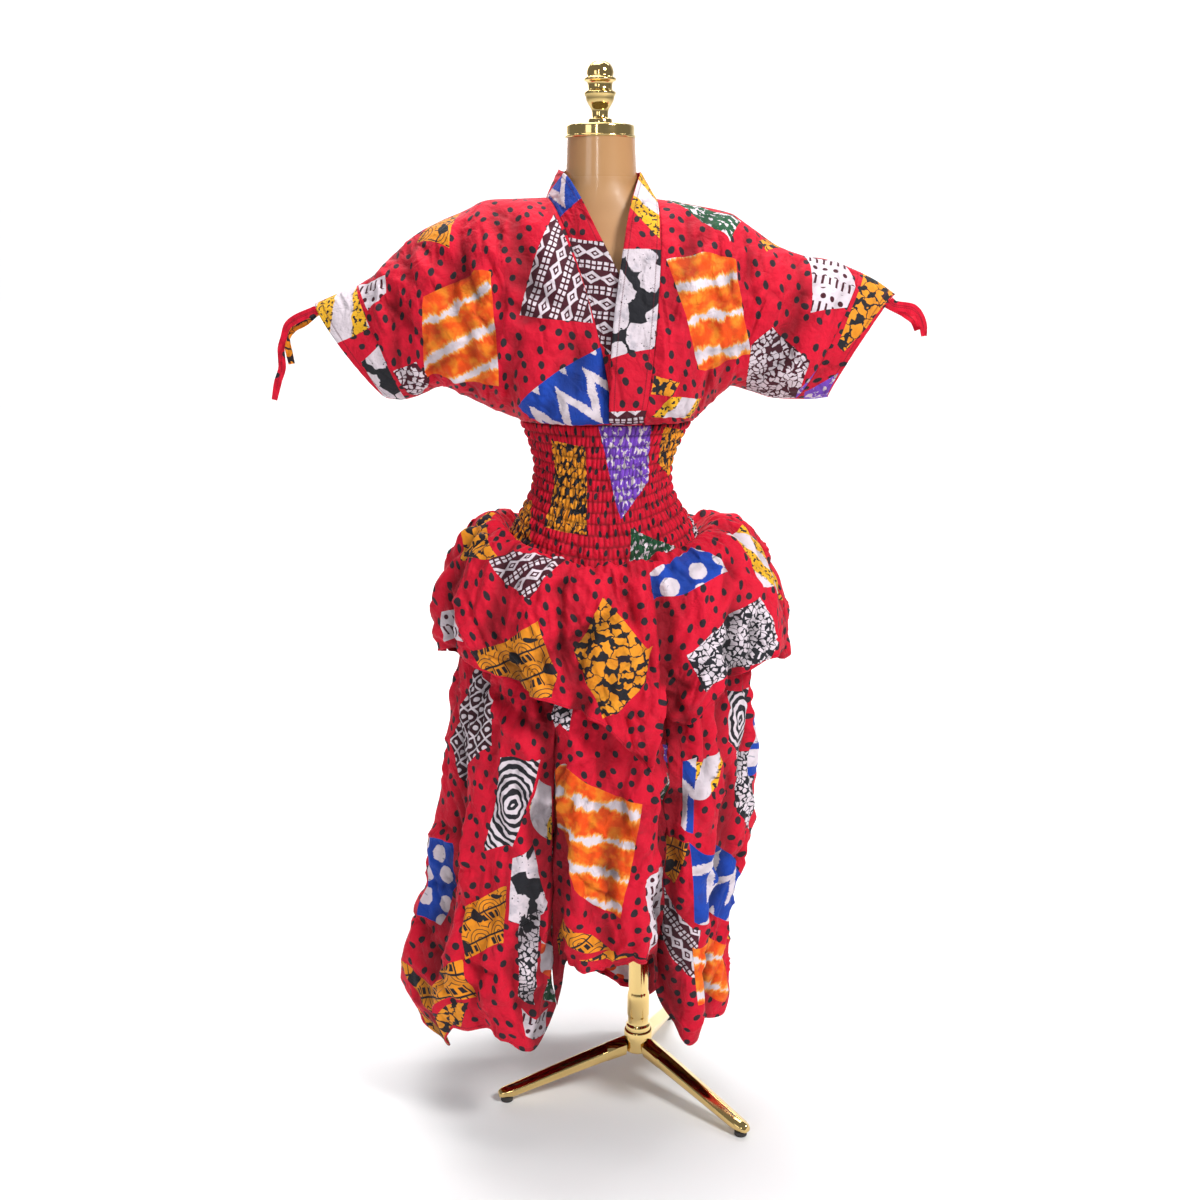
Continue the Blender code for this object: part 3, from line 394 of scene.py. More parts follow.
def turned(profile, axis, sides):
    """Spin a profile of radius and height round an upright axis, and close both its ends."""
    bm = bmesh.new()
    points = [bm.verts.new((axis + radius, 0.0, height)) for radius, height in profile]
    line = [bm.edges.new(pair) for pair in zip(points, points[1:])]
    bmesh.ops.spin(bm, geom=points + line, cent=(axis, 0, 0), axis=(0, 0, 1), angle=tau,
                   steps=sides, use_merge=True)
    bmesh.ops.remove_doubles(bm, verts=bm.verts, dist=MERGE)
    close_up(bm)
    return bm


for name, (node, axis, profile) in TURNED.items():
    bm = turned(profile, axis, TURNED_SIDES)
    piece_of(bm, name, gold.material, node, 50.0)

# Legs
# Three cast legs with a ridged top and a rounded tip, plated like the pole. Each stands on a
# dark glide, 236 mm from the pole's axis.
LEG_REACH = 0.236
LEG_TURNS = (195.0, 315.0, 75.0)
LEG = [  # reach, ridge height, shoulder height, underside height, half width
    (0.0000, 0.0990, 0.0890, 0.0680, 0.0165),
    (0.0600, 0.0830, 0.0735, 0.0545, 0.0165),
    (0.1300, 0.0620, 0.0530, 0.0360, 0.0152),
    (0.2000, 0.0395, 0.0315, 0.0170, 0.0138),
    (0.2300, 0.0300, 0.0225, 0.0093, 0.0130),
    (0.2440, 0.0260, 0.0190, 0.0093, 0.0110),
    (0.2510, 0.0215, 0.0160, 0.0096, 0.0065),
]
LEG_SECTIONS = [HUB_RADIUS + GAP, 0.06, 0.10, 0.15, 0.20, 0.225, 0.238, 0.246, 0.251]
LEG_SOLE = 0.75          # width of the underside over the leg's own
LEG_SHARP = radians(28)  # edges that turn more than this are rounded
LEG_BEVEL = 0.0022
LEG_BEVEL_STEPS = 4
GLIDE = [  # radius and height from the top down
    (0.0085, 0.0090), (0.0102, 0.0084), (0.0105, 0.0074), (0.0105, 0.0012), (0.0100, 0.0003),
    (0.0092, 0.0),
]
GLIDE_SIDES = 48

rubber = Finish("dark glide", Roughness=0.62)
dusty = rubber.noise(rubber.point(), 90.0)
rubber.join("Base Color", rubber.mix(dusty, (0.018, 0.017, 0.016), (0.05, 0.047, 0.044)))

for number, turn in enumerate(LEG_TURNS, start=1):
    bm = bmesh.new()
    for reach in LEG_SECTIONS:
        ridge, shoulder, underside, half = map(float, columns(LEG, reach, 1, 2, 3, 4))
        middle = (shoulder + underside) / 2
        outline = [(0.0, ridge), (half, shoulder), (half, middle), (half * LEG_SOLE, underside),
                   (-half * LEG_SOLE, underside), (-half, middle), (-half, shoulder)]
        ring = [bm.verts.new((reach, across, height)) for across, height in outline]
        for k in range(len(ring)):
            bm.edges.new((ring[k - 1], ring[k]))
    bmesh.ops.bridge_loops(bm, edges=bm.edges)
    close_up(bm)
    sharp = [edge for edge in bm.edges if edge.calc_face_angle() > LEG_SHARP]
    outer = [edge for edge in sharp if min(vert.co.x for vert in edge.verts) > HUB_RADIUS + 2 * GAP]
    bmesh.ops.bevel(bm, geom=outer, offset=LEG_BEVEL, offset_type="OFFSET", affect="EDGES",
                    segments=LEG_BEVEL_STEPS, profile=0.5, material=-1, clamp_overlap=True)
    bmesh.ops.rotate(bm, verts=bm.verts, matrix=Matrix.Rotation(radians(turn), 3, "Z"))
    bmesh.ops.translate(bm, verts=bm.verts, vec=(POLE_X, 0.0, 0.0))
    piece_of(bm, f"cast_leg_{number}", gold.material, f"leg_{number}", 60.0)

    bm = turned(GLIDE, 0.0, GLIDE_SIDES)
    foot = (POLE_X + LEG_REACH * cos(radians(turn)), LEG_REACH * sin(radians(turn)), 0.0)
    bmesh.ops.translate(bm, verts=bm.verts, vec=foot)
    piece_of(bm, f"glide_{number}", rubber.material, f"foot_{number}")

# Printed cotton
# A thin plain-weave cotton in crimson with dark oval dots, pieced with patches of wax print and
# tie-dye. Each print is drawn on the flat cloth in metres, with generic motifs of its own.
WHITE = colour_of(232, 218, 226)
BLACK = colour_of(34, 34, 40)
MAROON = colour_of(74, 22, 36)
ORANGE = colour_of(243, 150, 30)
YELLOW = colour_of(246, 184, 34)
BLUE = colour_of(20, 68, 174)
GREY = colour_of(170, 166, 178)
STITCH_LINE = 0.006      # from a finished edge to its row of stitches
STITCH_PITCH = 0.0034
THREAD_PITCH = 0.0009
SEWING_THREAD = (0.10, 0.004, 0.012)
DUSK = (0.05, 0.004, 0.012)
CREASE_CELLS = 33.0      # in each metre, as are the facets
FACET_CELLS = 24.0


def cotton(name, draw):
    """A finish with a print on it: draw gives the print's colour at a place on the flat cloth."""
    cloth = Finish(name, Sheen_Weight=0.02, Sheen_Roughness=0.5, Specular_IOR_Level=0.3)
    flat = cloth.cloth_point()
    place = cloth.point()
    drawn = draw(cloth, flat)
    edge = cloth.attribute("edge")
    hollow = cloth.attribute("hollow")
    across, down, _ = cloth.split(flat)
    off_line = (edge - STITCH_LINE).size()
    stitch = off_line.soft(0.0009, 0.0004) * (across + down).saw(STITCH_PITCH).soft(0.12, 0.25)
    worn = cloth.noise(place, 26.0, 4.0, 0.6)
    dusk = cloth.mix(worn.soft(0.48, 0.20) * 0.35, drawn, DUSK)
    # Painted shade: the colour is darkened in the relief's hollows, to 38 % of it at the deepest.
    shaded = cloth.vector("SCALE", dusk, scale_by=1.0 - hollow.soft(0.22, 1.0) * 0.62)
    smooth = cloth.noise(flat, 11.0, 2.0, flat=True).soft(0.42, 0.56)
    hanging = cloth.warp(cloth.vector("MULTIPLY", flat, (1.0, 0.40, 1.0)), 14.0, 0.030)
    creased = cloth.cell_distance(hanging, CREASE_CELLS, "DISTANCE_TO_EDGE")
    # Painted shade: thin dark lines along the creases, down to 84 % of the colour.
    painted_crease_shade = creased.soft(0.0, 0.10).larger(smooth) * 0.16 + 0.84
    lines = cloth.vector("SCALE", shaded, scale_by=painted_crease_shade)
    cloth.join("Base Color", cloth.mix(stitch * 0.55, lines, SEWING_THREAD))
    cloth.join("Roughness", worn * 0.16 + 0.68)
    wandered = cloth.warp(place, 22.0, 0.03, 1.0, flat=False)
    crushed = cloth.noise(wandered, 42.0, 3.0, 0.55)
    facets = cloth.cell_distance(cloth.warp(flat, 12.0, 0.03), FACET_CELLS)
    threads = (across * (tau / THREAD_PITCH)).wave() + (down * (tau / THREAD_PITCH)).wave()
    relief = None
    for height, distance, strength in (
            (facets, 0.0075, 0.6),
            (creased.soft(0.0, 0.20).larger(smooth), 0.0042, 0.6),
            ((crushed - 0.5).size(), 0.0110, 0.6),
            (cloth.noise(place, 170.0, 3.0, 0.6), 0.0016, 0.4),
            (stitch, 0.0006, 0.5),
            (threads, 0.00012, 0.25)):
        relief = cloth.bump(height, distance, strength, relief)
    cloth.join("Normal", relief)
    return cloth.material


DOT_SPACING = 0.0255
DOT_HALF_WIDTH = 0.0042
DOT_HALF_LENGTH = 0.0057


def draw_dots(cloth, flat):
    """Dark tilted ovals, scattered over a loose grid on crimson."""
    cells = cloth.cells(flat, 1.0 / DOT_SPACING, randomness=0.62)
    away = cloth.vector("SUBTRACT", flat, Value(cloth, cells.outputs["Position"]))
    dx, dy, _ = cloth.split(away)
    tilt, growth, _ = cloth.split(Value(cloth, cells.outputs["Color"]))
    angle = tilt * 1.5 - 1.0
    c = angle.math("COSINE")
    s = angle.math("SINE")
    along = (dx * c + dy * s) / DOT_HALF_WIDTH
    over = (dy * c - dx * s) / DOT_HALF_LENGTH
    ragged = (cloth.noise(flat, 260.0, 1.0, flat=True) - 0.5) * 0.25
    far = along.hypotenuse(over) + ragged - growth * 0.18
    tone = cloth.noise(flat, 12.0, 3.0, flat=True)
    ground = cloth.mix(tone, colour_of(210, 4, 42), colour_of(226, 8, 50))
    return cloth.mix(far.soft(1.06, 0.92), ground, colour_of(44, 34, 42))


def draw_tie_dye(cloth, flat):
    """Bands left white by the ties, broken and streaked where the dye crept in."""
    streaked = cloth.vector("MULTIPLY", flat, (1.0, 0.25, 1.0))
    _, down, _ = cloth.split(flat)
    creep = cloth.noise(streaked, 150.0, 3.0, 0.7, flat=True) - 0.5
    wander = cloth.noise(flat, 14.0, 2.0, flat=True) - 0.5
    off_middle = (down + creep * 0.016 + wander * 0.030).tile(0.052).size()
    held = cloth.noise(streaked, 42.0, 2.0, flat=True).soft(0.26, 0.60) * 0.135
    tone = cloth.noise(flat, 48.0, 3.0, flat=True)
    dyed = cloth.mix(tone.soft(0.40, 0.72), colour_of(246, 82, 8), colour_of(253, 142, 30))
    halo = cloth.mix((off_middle - held).soft(0.01, 0.10), colour_of(254, 178, 84), dyed)
    return cloth.mix((off_middle - held).soft(0.02, -0.03), halo, WHITE)


def draw_zigzag(cloth, flat):
    """Broad white zigzags brushed in rows on blue, dry at their edges."""
    across, down, _ = cloth.split(cloth.warp(flat, 30.0, 0.008))
    peak = across.tile(0.050).size() * 0.120
    far = (down + peak).tile(0.092).size() * 0.092
    dry = (cloth.noise(flat, 340.0, 2.0, flat=True) - 0.5) * 0.012
    return cloth.mix((far + dry).soft(0.0165, 0.0140), BLUE, WHITE)


def draw_big_dots(cloth, flat):
    """Round white dots on blue, each with a few faint strokes."""
    far = cloth.cell_distance(flat, 1.0 / 0.043, randomness=0.5)
    ragged = (cloth.noise(flat, 120.0, 2.0, flat=True) - 0.5) * 0.10
    level = cloth.vector("MULTIPLY", cloth.warp(flat, 60.0, 0.010), (0.30, 1.0, 1.0))
    stroke = cloth.noise(level, 150.0, 1.0, flat=True).soft(0.70, 0.75)
    return cloth.mix((far + ragged).soft(0.36, 0.33), BLUE, cloth.mix(stroke, WHITE, GREY))


def draw_petals(cloth, flat):
    """Big loose white petals on black, clouded with a little grey."""
    wandered = cloth.warp(cloth.warp(flat, 22.0, 0.030), 60.0, 0.008)
    far = cloth.cell_distance(wandered, 1.0 / 0.046, randomness=0.9)
    cloud = cloth.noise(flat, 34.0, 3.0, flat=True).soft(0.50, 0.64)
    fleck = cloth.noise(cloth.warp(flat, 80.0, 0.010), 190.0, 1.0, flat=True).soft(0.72, 0.76)
    petal = cloth.mix(fleck, cloth.mix(cloud * 0.45, WHITE, GREY), BLACK)
    return cloth.mix(far.soft(0.50, 0.48), BLACK, petal)


def pebbles_on(ground, size):
    """Close white pebbles of many sizes on a ground, some of them left out."""
    def draw(cloth, flat):
        wandered = cloth.warp(flat, 0.9 / size, size * 0.9)
        gap = cloth.cell_distance(wandered, 1.0 / size, "DISTANCE_TO_EDGE")
        thinner = cloth.noise(flat, 0.8 / size, 2.0, flat=True).soft(0.35, 0.70) * 0.20
        chance, _, _ = cloth.split(Value(cloth, cloth.cells(wandered, 1.0 / size).outputs["Color"]))
        pebble = (gap - thinner).soft(0.02, 0.08) * (chance > 0.14)
        return cloth.mix(pebble, ground, WHITE)
    return draw


def draw_crackle(cloth, flat):
    """Orange islands parted by black."""
    wandered = cloth.warp(cloth.warp(flat, 44.0, 0.018), 120.0, 0.006)
    gap = cloth.cell_distance(wandered, 1.0 / 0.020, "DISTANCE_TO_EDGE")
    thinner = cloth.noise(flat, 48.0, 2.0, flat=True).soft(0.42, 0.72) * 0.34
    island = (gap - thinner).soft(0.025, 0.055)
    tone = cloth.noise(flat, 30.0, flat=True)
    orange = cloth.mix(tone, colour_of(238, 138, 22), colour_of(250, 170, 44))
    return cloth.mix(island, BLACK, orange)


def draw_arcs(cloth, flat):
    """Thin black arcs and ruled lines on orange, with short thick bars in rows."""
    across, down, _ = cloth.split(cloth.warp(flat, 20.0, 0.006))
    row_at = down.tile(0.038)
    far = across.tile(0.038).hypotenuse(row_at)
    arc = far.tile(0.17).size().soft(0.13, 0.06) * (row_at > 0.0)
    ruled = across.tile(0.019).size().soft(0.06, 0.03) * (row_at < 0.0)
    rule = row_at.size().soft(0.05, 0.03)
    bar = across.tile(0.0095).size().soft(0.30, 0.24) * (row_at + 0.26).size().soft(0.15, 0.13)
    bars = bar * (across.saw(0.057) < 0.5)
    field = cloth.noise(flat, 24.0, 1.0, flat=True).soft(0.64, 0.655)
    return cloth.mix(arc.larger(ruled).larger(rule).larger(bars).larger(field), ORANGE, BLACK)


def draw_rings(cloth, flat):
    """Uneven black and white rings, longer than wide, round one middle."""
    across, down, _ = cloth.split(cloth.warp(flat, 34.0, 0.016))
    ring = (across * 1.6).hypotenuse(down).tile(0.0135).size()
    return cloth.mix(ring.soft(0.29, 0.23), WHITE, BLACK)


def draw_diamonds(cloth, flat):
    """Rows of white diamonds between dashed lines on maroon."""
    across, down, _ = cloth.split(cloth.warp(flat, 40.0, 0.005))
    off_row = down.tile(0.036).size()
    diamond = across.tile(0.027).size() * 0.9 + off_row * 2.0
    hollow = diamond.soft(0.55, 0.50) * (1.0 - diamond.soft(0.28, 0.24)) + diamond.soft(0.13, 0.10)
    line = (off_row - 0.40).size().soft(0.075, 0.055)
    dash = line * across.tile(0.009).size().soft(0.36, 0.31)
    return cloth.mix(hollow.larger(dash), MAROON, WHITE)


def draw_stripes(cloth, flat):
    """White with maroon stripes and a row of dots."""
    across, down, _ = cloth.split(cloth.warp(flat, 30.0, 0.004))
    row = down.saw(0.042)
    bars = across.tile(0.011).size().soft(0.20, 0.15) * row.soft(0.36, 0.34)
    spots = cloth.cell_distance(flat, 1.0 / 0.016, randomness=0.2)
    dotted = spots.soft(0.27, 0.23) * row.soft(0.46, 0.50)
    return cloth.mix(bars.larger(dotted), WHITE, MAROON)


def draw_lattice(cloth, flat):
    """A white lattice with a dot in each of its squares."""
    across, down, _ = cloth.split(cloth.warp(flat, 25.0, 0.004))
    column_at, row_at = across.tile(0.019), down.tile(0.024)
    line = column_at.size().larger(row_at.size()).soft(0.41, 0.44)
    dot = column_at.hypotenuse(row_at).soft(0.21, 0.17)
    return cloth.mix(line.larger(dot), colour_of(60, 24, 34), WHITE)


def mottled_on(ground):
    """White mottling on a ground."""
    def draw(cloth, flat):
        wandered = cloth.warp(flat, 60.0, 0.012)
        light = cloth.noise(wandered, 88.0, 2.0, 0.5, flat=True).soft(0.55, 0.60)
        return cloth.mix(light, ground, WHITE)
    return draw


def draw_specks(cloth, flat):
    """White with a broad wandering yellow band that is speckled with black."""
    across, down, _ = cloth.split(cloth.warp(flat, 24.0, 0.018))
    band = (across + down * 0.5).tile(0.070).size()
    speck = cloth.noise(flat, 170.0, 2.0, flat=True).soft(0.57, 0.61) * band.soft(0.32, 0.20)
    return cloth.mix(speck, cloth.mix(band.soft(0.25, 0.22), WHITE, YELLOW), BLACK)


def draw_spots(cloth, flat):
    """White with broad dabs of red and orange."""
    wandered = cloth.warp(flat, 30.0, 0.012)
    dab = cloth.cell_distance(wandered, 1.0 / 0.028, randomness=0.8)
    return cloth.mix(dab.soft(0.36, 0.31), WHITE, colour_of(240, 84, 30))


PRINTS = {
    "dots": cotton("crimson cotton with dots", draw_dots),
    "tie_dye": cotton("orange tie-dye", draw_tie_dye),
    "zigzag": cotton("blue zigzag print", draw_zigzag),
    "big_dots": cotton("blue print with round dots", draw_big_dots),
    "petals": cotton("black print with petals", draw_petals),
    "pebbles": cotton("black and white pebble print", pebbles_on(BLACK, 0.0085)),
    "maroon_pebbles": cotton("maroon pebble print", pebbles_on(MAROON, 0.0095)),
    "crackle": cotton("orange crackle print", draw_crackle),
    "arcs": cotton("orange print with thin arcs", draw_arcs),
    "rings": cotton("black and white ring print", draw_rings),
    "diamonds": cotton("maroon print with diamonds", draw_diamonds),
    "stripes": cotton("maroon striped print", draw_stripes),
    "lattice": cotton("lattice print", draw_lattice),
    "purple": cotton("purple mottled print", mottled_on(colour_of(126, 74, 198))),
    "green": cotton("green mottled print", mottled_on(colour_of(28, 84, 52))),
    "specks": cotton("white print with yellow", draw_specks),
    "spots": cotton("white print with red dabs", draw_spots),
}

# Bodice fronts and back
# Two batwing fronts and a back in one piece, cut with their sleeves and gathered a little at the
# waist. The fronts are seamed to the back along the shoulders and under the arms.
WALL = 0.0014            # the cotton with its turnings
WAIST_HEIGHT = 1.171
WAIST_SEAM = WAIST_HEIGHT + GAP
WAIST_CENTRE = 0.0095
WAIST_HALF_WIDTH = 0.1375
WAIST_HALF_DEPTH = 0.100
LEFT_RIBS = [  # station, top x, top z, bottom x, bottom z, depth, bow, fullness, back depth
    (0.0, -0.0840, 1.5140, 0.0100, WAIST_SEAM, 0.1075, 0.0250, 2.3, 0.104),
    (1.0, -0.1290, 1.5120, -0.0600, WAIST_SEAM, 0.1180, 0.0060, 2.5, 0.106),
    (2.0, -0.1710, 1.5100, -0.1040, WAIST_SEAM, 0.1170, 0.0000, 2.6, 0.104),
    (2.8, -0.1980, 1.5000, -0.1240, WAIST_SEAM, 0.1110, 0.0000, 2.5, 0.100),
    (3.2, -0.2130, 1.4930, -0.1320, 1.1730, 0.1070, 0.0000, 2.4, 0.097),
    (4.0, -0.2450, 1.4800, -0.1650, 1.1850, 0.0990, 0.0000, 2.3, 0.091),
    (5.0, -0.2840, 1.4590, -0.2080, 1.2050, 0.0900, -0.0040, 2.2, 0.084),
    (6.0, -0.3220, 1.4280, -0.2520, 1.2230, 0.0790, -0.0060, 2.1, 0.074),
    (7.0, -0.3520, 1.3980, -0.2780, 1.2130, 0.0700, -0.0060, 2.0, 0.066),
    (8.0, -0.3770, 1.3820, -0.2960, 1.2060, 0.0620, -0.0060, 2.0, 0.060),
    (9.0, -0.4120, 1.3680, -0.3160, 1.2020, 0.0560, -0.0050, 2.0, 0.055),
    (10.0, -0.4470, 1.3530, -0.3380, 1.2040, 0.0520, -0.0040, 2.0, 0.052),
]
RIGHT_RIBS = [  # station, top x, top z, bottom x, bottom z, depth, bow, fullness, back depth
    (0.0, 0.0860, 1.5120, 0.0620, WAIST_SEAM, 0.1210, 0.0130, 2.6, 0.104),
    (1.0, 0.1280, 1.5050, 0.0980, WAIST_SEAM, 0.1205, 0.0040, 2.6, 0.106),
    (2.0, 0.1650, 1.4990, 0.1270, WAIST_SEAM, 0.1150, 0.0000, 2.6, 0.104),
    (2.8, 0.1930, 1.4930, 0.1430, WAIST_SEAM, 0.1090, 0.0000, 2.5, 0.100),
    (3.2, 0.2090, 1.4860, 0.1510, 1.1735, 0.1050, 0.0000, 2.4, 0.097),
    (4.0, 0.2420, 1.4640, 0.1740, 1.1960, 0.0970, 0.0000, 2.3, 0.090),
    (5.0, 0.2850, 1.4370, 0.2050, 1.2240, 0.0880, 0.0040, 2.2, 0.083),
    (6.0, 0.3220, 1.4250, 0.2380, 1.2160, 0.0790, 0.0060, 2.1, 0.074),
    (7.0, 0.3620, 1.4180, 0.2720, 1.2060, 0.0700, 0.0060, 2.0, 0.066),
    (8.0, 0.4020, 1.4030, 0.3080, 1.2030, 0.0620, 0.0060, 2.0, 0.060),
    (9.0, 0.4330, 1.3880, 0.3360, 1.2030, 0.0560, -0.0060, 2.0, 0.055),
    (10.0, 0.4640, 1.3670, 0.3640, 1.2060, 0.0520, -0.0150, 2.0, 0.052),
]
UNDERLAP = 0.0065        # how far the left front lies under the right at the waist
CUFF_SEAM = 8.0
CUFF_EDGE = 10.0
BODICE_FOLDS = [  # station, turn down the rib, height, spread in stations, spread in turn, lean
    (2.2, 1.05, -0.0060, 0.45, 0.75, 0.7),
    (3.3, 1.30, 0.0060, 0.45, 0.80, 0.6),
    (4.3, 1.55, -0.0070, 0.40, 0.85, 0.5),
    (5.2, 1.40, 0.0050, 0.40, 0.80, 0.4),
    (6.2, 1.70, -0.0050, 0.40, 0.75, 0.3),
    (7.1, 1.30, 0.0040, 0.40, 0.70, 0.2),
    (1.6, 2.40, 0.0045, 0.40, 0.45, -0.8),
    (2.7, 2.35, -0.0050, 0.40, 0.50, -0.7),
]
BACK_NECK = [  # x, height and y of the back neckline, bottom x at the waist
    (-1.0, -0.0840, 1.5140, 0.0000, -0.0500),
    (-0.8, -0.0740, 1.5125, 0.0260, -0.0380),
    (-0.5, -0.0520, 1.5110, 0.0560, -0.0210),
    (0.0, 0.0010, 1.5095, 0.0745, 0.0095),
    (0.5, 0.0540, 1.5100, 0.0560, 0.0400),
    (0.8, 0.0760, 1.5110, 0.0260, 0.0570),
    (1.0, 0.0860, 1.5120, 0.0000, 0.0690),
]
BACK_DEPTH = 0.104
BACK_FULLNESS = 2.6


def waist_depth(x):
    across = (x - WAIST_CENTRE) / WAIST_HALF_WIDTH
    return WAIST_HALF_DEPTH * np.sqrt(np.clip(1.0 - across**2, 0.0, None))


def belly(turn, fullness):
    """How far the cloth stands out between the ends of a rib, 0 at both and 1 halfway."""
    bulge = np.sqrt(np.clip(1.0 - np.abs(np.cos(turn)) ** fullness, 0.0, None))
    return np.where((turn >= 0.0) & (turn <= pi), bulge, -bulge)


def rib_points(ribs, station, turn, side, back=False):
    """Points of the bodice: turn is 0 at the shoulder line and pi at the lower end."""
    top_x, top_z, bottom_x, bottom_z, depth, bow, fullness, back_depth = columns(
        ribs, station, *range(1, 9))
    down = (1.0 - np.cos(turn)) / 2.0
    x = top_x + (bottom_x - top_x) * down + bow * np.sin(turn)
    z = top_z + (bottom_z - top_z) * down
    if back:
        fullness = np.maximum(fullness, BACK_FULLNESS - 0.12 * station)
    out = (back_depth if back else depth) * belly(turn, fullness) + waist_depth(bottom_x) * down**6
    folds = 0.0
    for at_station, at_turn, height, wide, tall, lean in BODICE_FOLDS:
        over = (station - at_station - lean * (turn - at_turn)) / wide
        folds = folds + height * np.exp(-over**2 - ((turn - at_turn) / tall) ** 2)
    out = out + np.sin(turn) ** 2 * folds
    if side < 0 and not back:
        out = out - UNDERLAP * np.clip(1.0 - station, 0.0, None) * down**3
    return np.stack([x, out if back else -out, z], axis=-1)


def back_points(station, turn):
    """The back in one piece: stations under -1 and over 1 are the ribs of the two sides."""
    sides = []
    for ribs, end, side in ((LEFT_RIBS, BACK_NECK[0], -1.0), (RIGHT_RIBS, BACK_NECK[-1], 1.0)):
        own = np.clip(np.abs(station) - 1.0, 0.0, None)
        points = rib_points(ribs, own, turn, side, back=True)
        weight = np.clip(1.0 - own / 2.0, 0.0, None)
        down = (1.0 - np.cos(turn)) / 2.0
        moved = (end[4] - ribs[0][3]) * weight
        bottom = column(ribs, own, 3)
        points[..., 0] += moved * down - ribs[0][6] * np.sin(turn) * weight
        points[..., 1] += (waist_depth(bottom + moved) - waist_depth(bottom)) * down**6
        sides.append(points)
    top_x, top_z, top_y, bottom_x = columns(BACK_NECK, station, 1, 2, 3, 4)
    down = (1.0 - np.cos(turn)) / 2.0
    x = top_x + (bottom_x - top_x) * down
    out = BACK_DEPTH * belly(turn, BACK_FULLNESS) + waist_depth(bottom_x) * down**6
    out = out + top_y * (1.0 - down) ** 5
    middle = np.stack([x, out, top_z + (WAIST_SEAM - top_z) * down], axis=-1)
    left, right = sides
    place = np.asarray(station)[..., None]
    return np.where(place <= -1.0, left, np.where(place >= 1.0, right, middle))


CREASE_SHARPNESS = 0.965
SEAM_MERGE = 0.00002     # closes a panel that goes all the way round


def comes_and_goes(run, start):
    """0 to 1 and back along a run, more often shown than not."""
    return np.clip(0.5 + np.sin(tau * run + start), 0.0, 1.0)


def crumple(x, y, seed, layers):
    """Heights of crushed cloth at x, y in metres: pleats that run down it, come and go and cross.

    Each of the layers is a spacing, a height, how many sets of pleats cross and how far they lean.
    """
    chance = np.random.default_rng(seed)
    total = np.zeros(np.shape(x))
    for spacing, height, sets, lean in layers:
        for _ in range(sets):
            angle = chance.uniform(-lean, lean)
            other = angle + pi / 2 + chance.uniform(-0.5, 0.5)
            shift, bend, window, gap = chance.uniform(0.0, tau, 4)
            along = x * cos(angle) + y * sin(angle)
            over = x * cos(other) + y * sin(other)
            wander = 0.4 * np.sin(tau * over / (6.3 * spacing) + bend)
            wave = np.sin(tau * (along / spacing + wander + shift))
            pleat = np.arcsin(CREASE_SHARPNESS * wave) / np.arcsin(CREASE_SHARPNESS)
            shown = comes_and_goes((over * 0.32 + along * 0.25) / (4.1 * spacing), window)
            shown = shown * comes_and_goes((along * 0.8 - over * 0.2) / (5.3 * spacing), gap)
            total += height / 2 * shown * pleat
    return total


def creases(x, y, rows):
    """Heights of soft folds given in a list, each bowed a little between its two ends."""
    total = np.zeros(np.shape(x))
    for x0, y0, x1, y1, wide, height in rows:
        run = np.array([x1 - x0, y1 - y0])
        length = float(np.hypot(*run))
        along = ((x - x0) * run[0] + (y - y0) * run[1]) / length**2
        aside = ((y - y0) * run[0] - (x - x0) * run[1]) / length
        near = np.clip(along, 0.0, 1.0)
        bow = 0.07 * length * np.sin(pi * near) * np.sin(length * 90.0)
        off = np.hypot((along - near) * length, aside - bow)
        taper = np.clip(4.0 * near * (1.0 - near), 0.0, 1.0) ** 0.6
        total += height * (0.25 + 0.75 * taper) * np.exp(-((off / wide) ** 1.5))
    return total


def steepness(surface, u, v, step_u, step_v):
    """The two directions in a surface at each place."""
    along_u = surface(u + step_u, v) - surface(u - step_u, v)
    along_v = surface(u, v + step_v) - surface(u, v - step_v)
    return along_u, along_v


def run_along(points):
    """How far along a line each of its points lies."""
    return np.concatenate([[0.0], np.cumsum(np.linalg.norm(np.diff(points, axis=0), axis=1))])


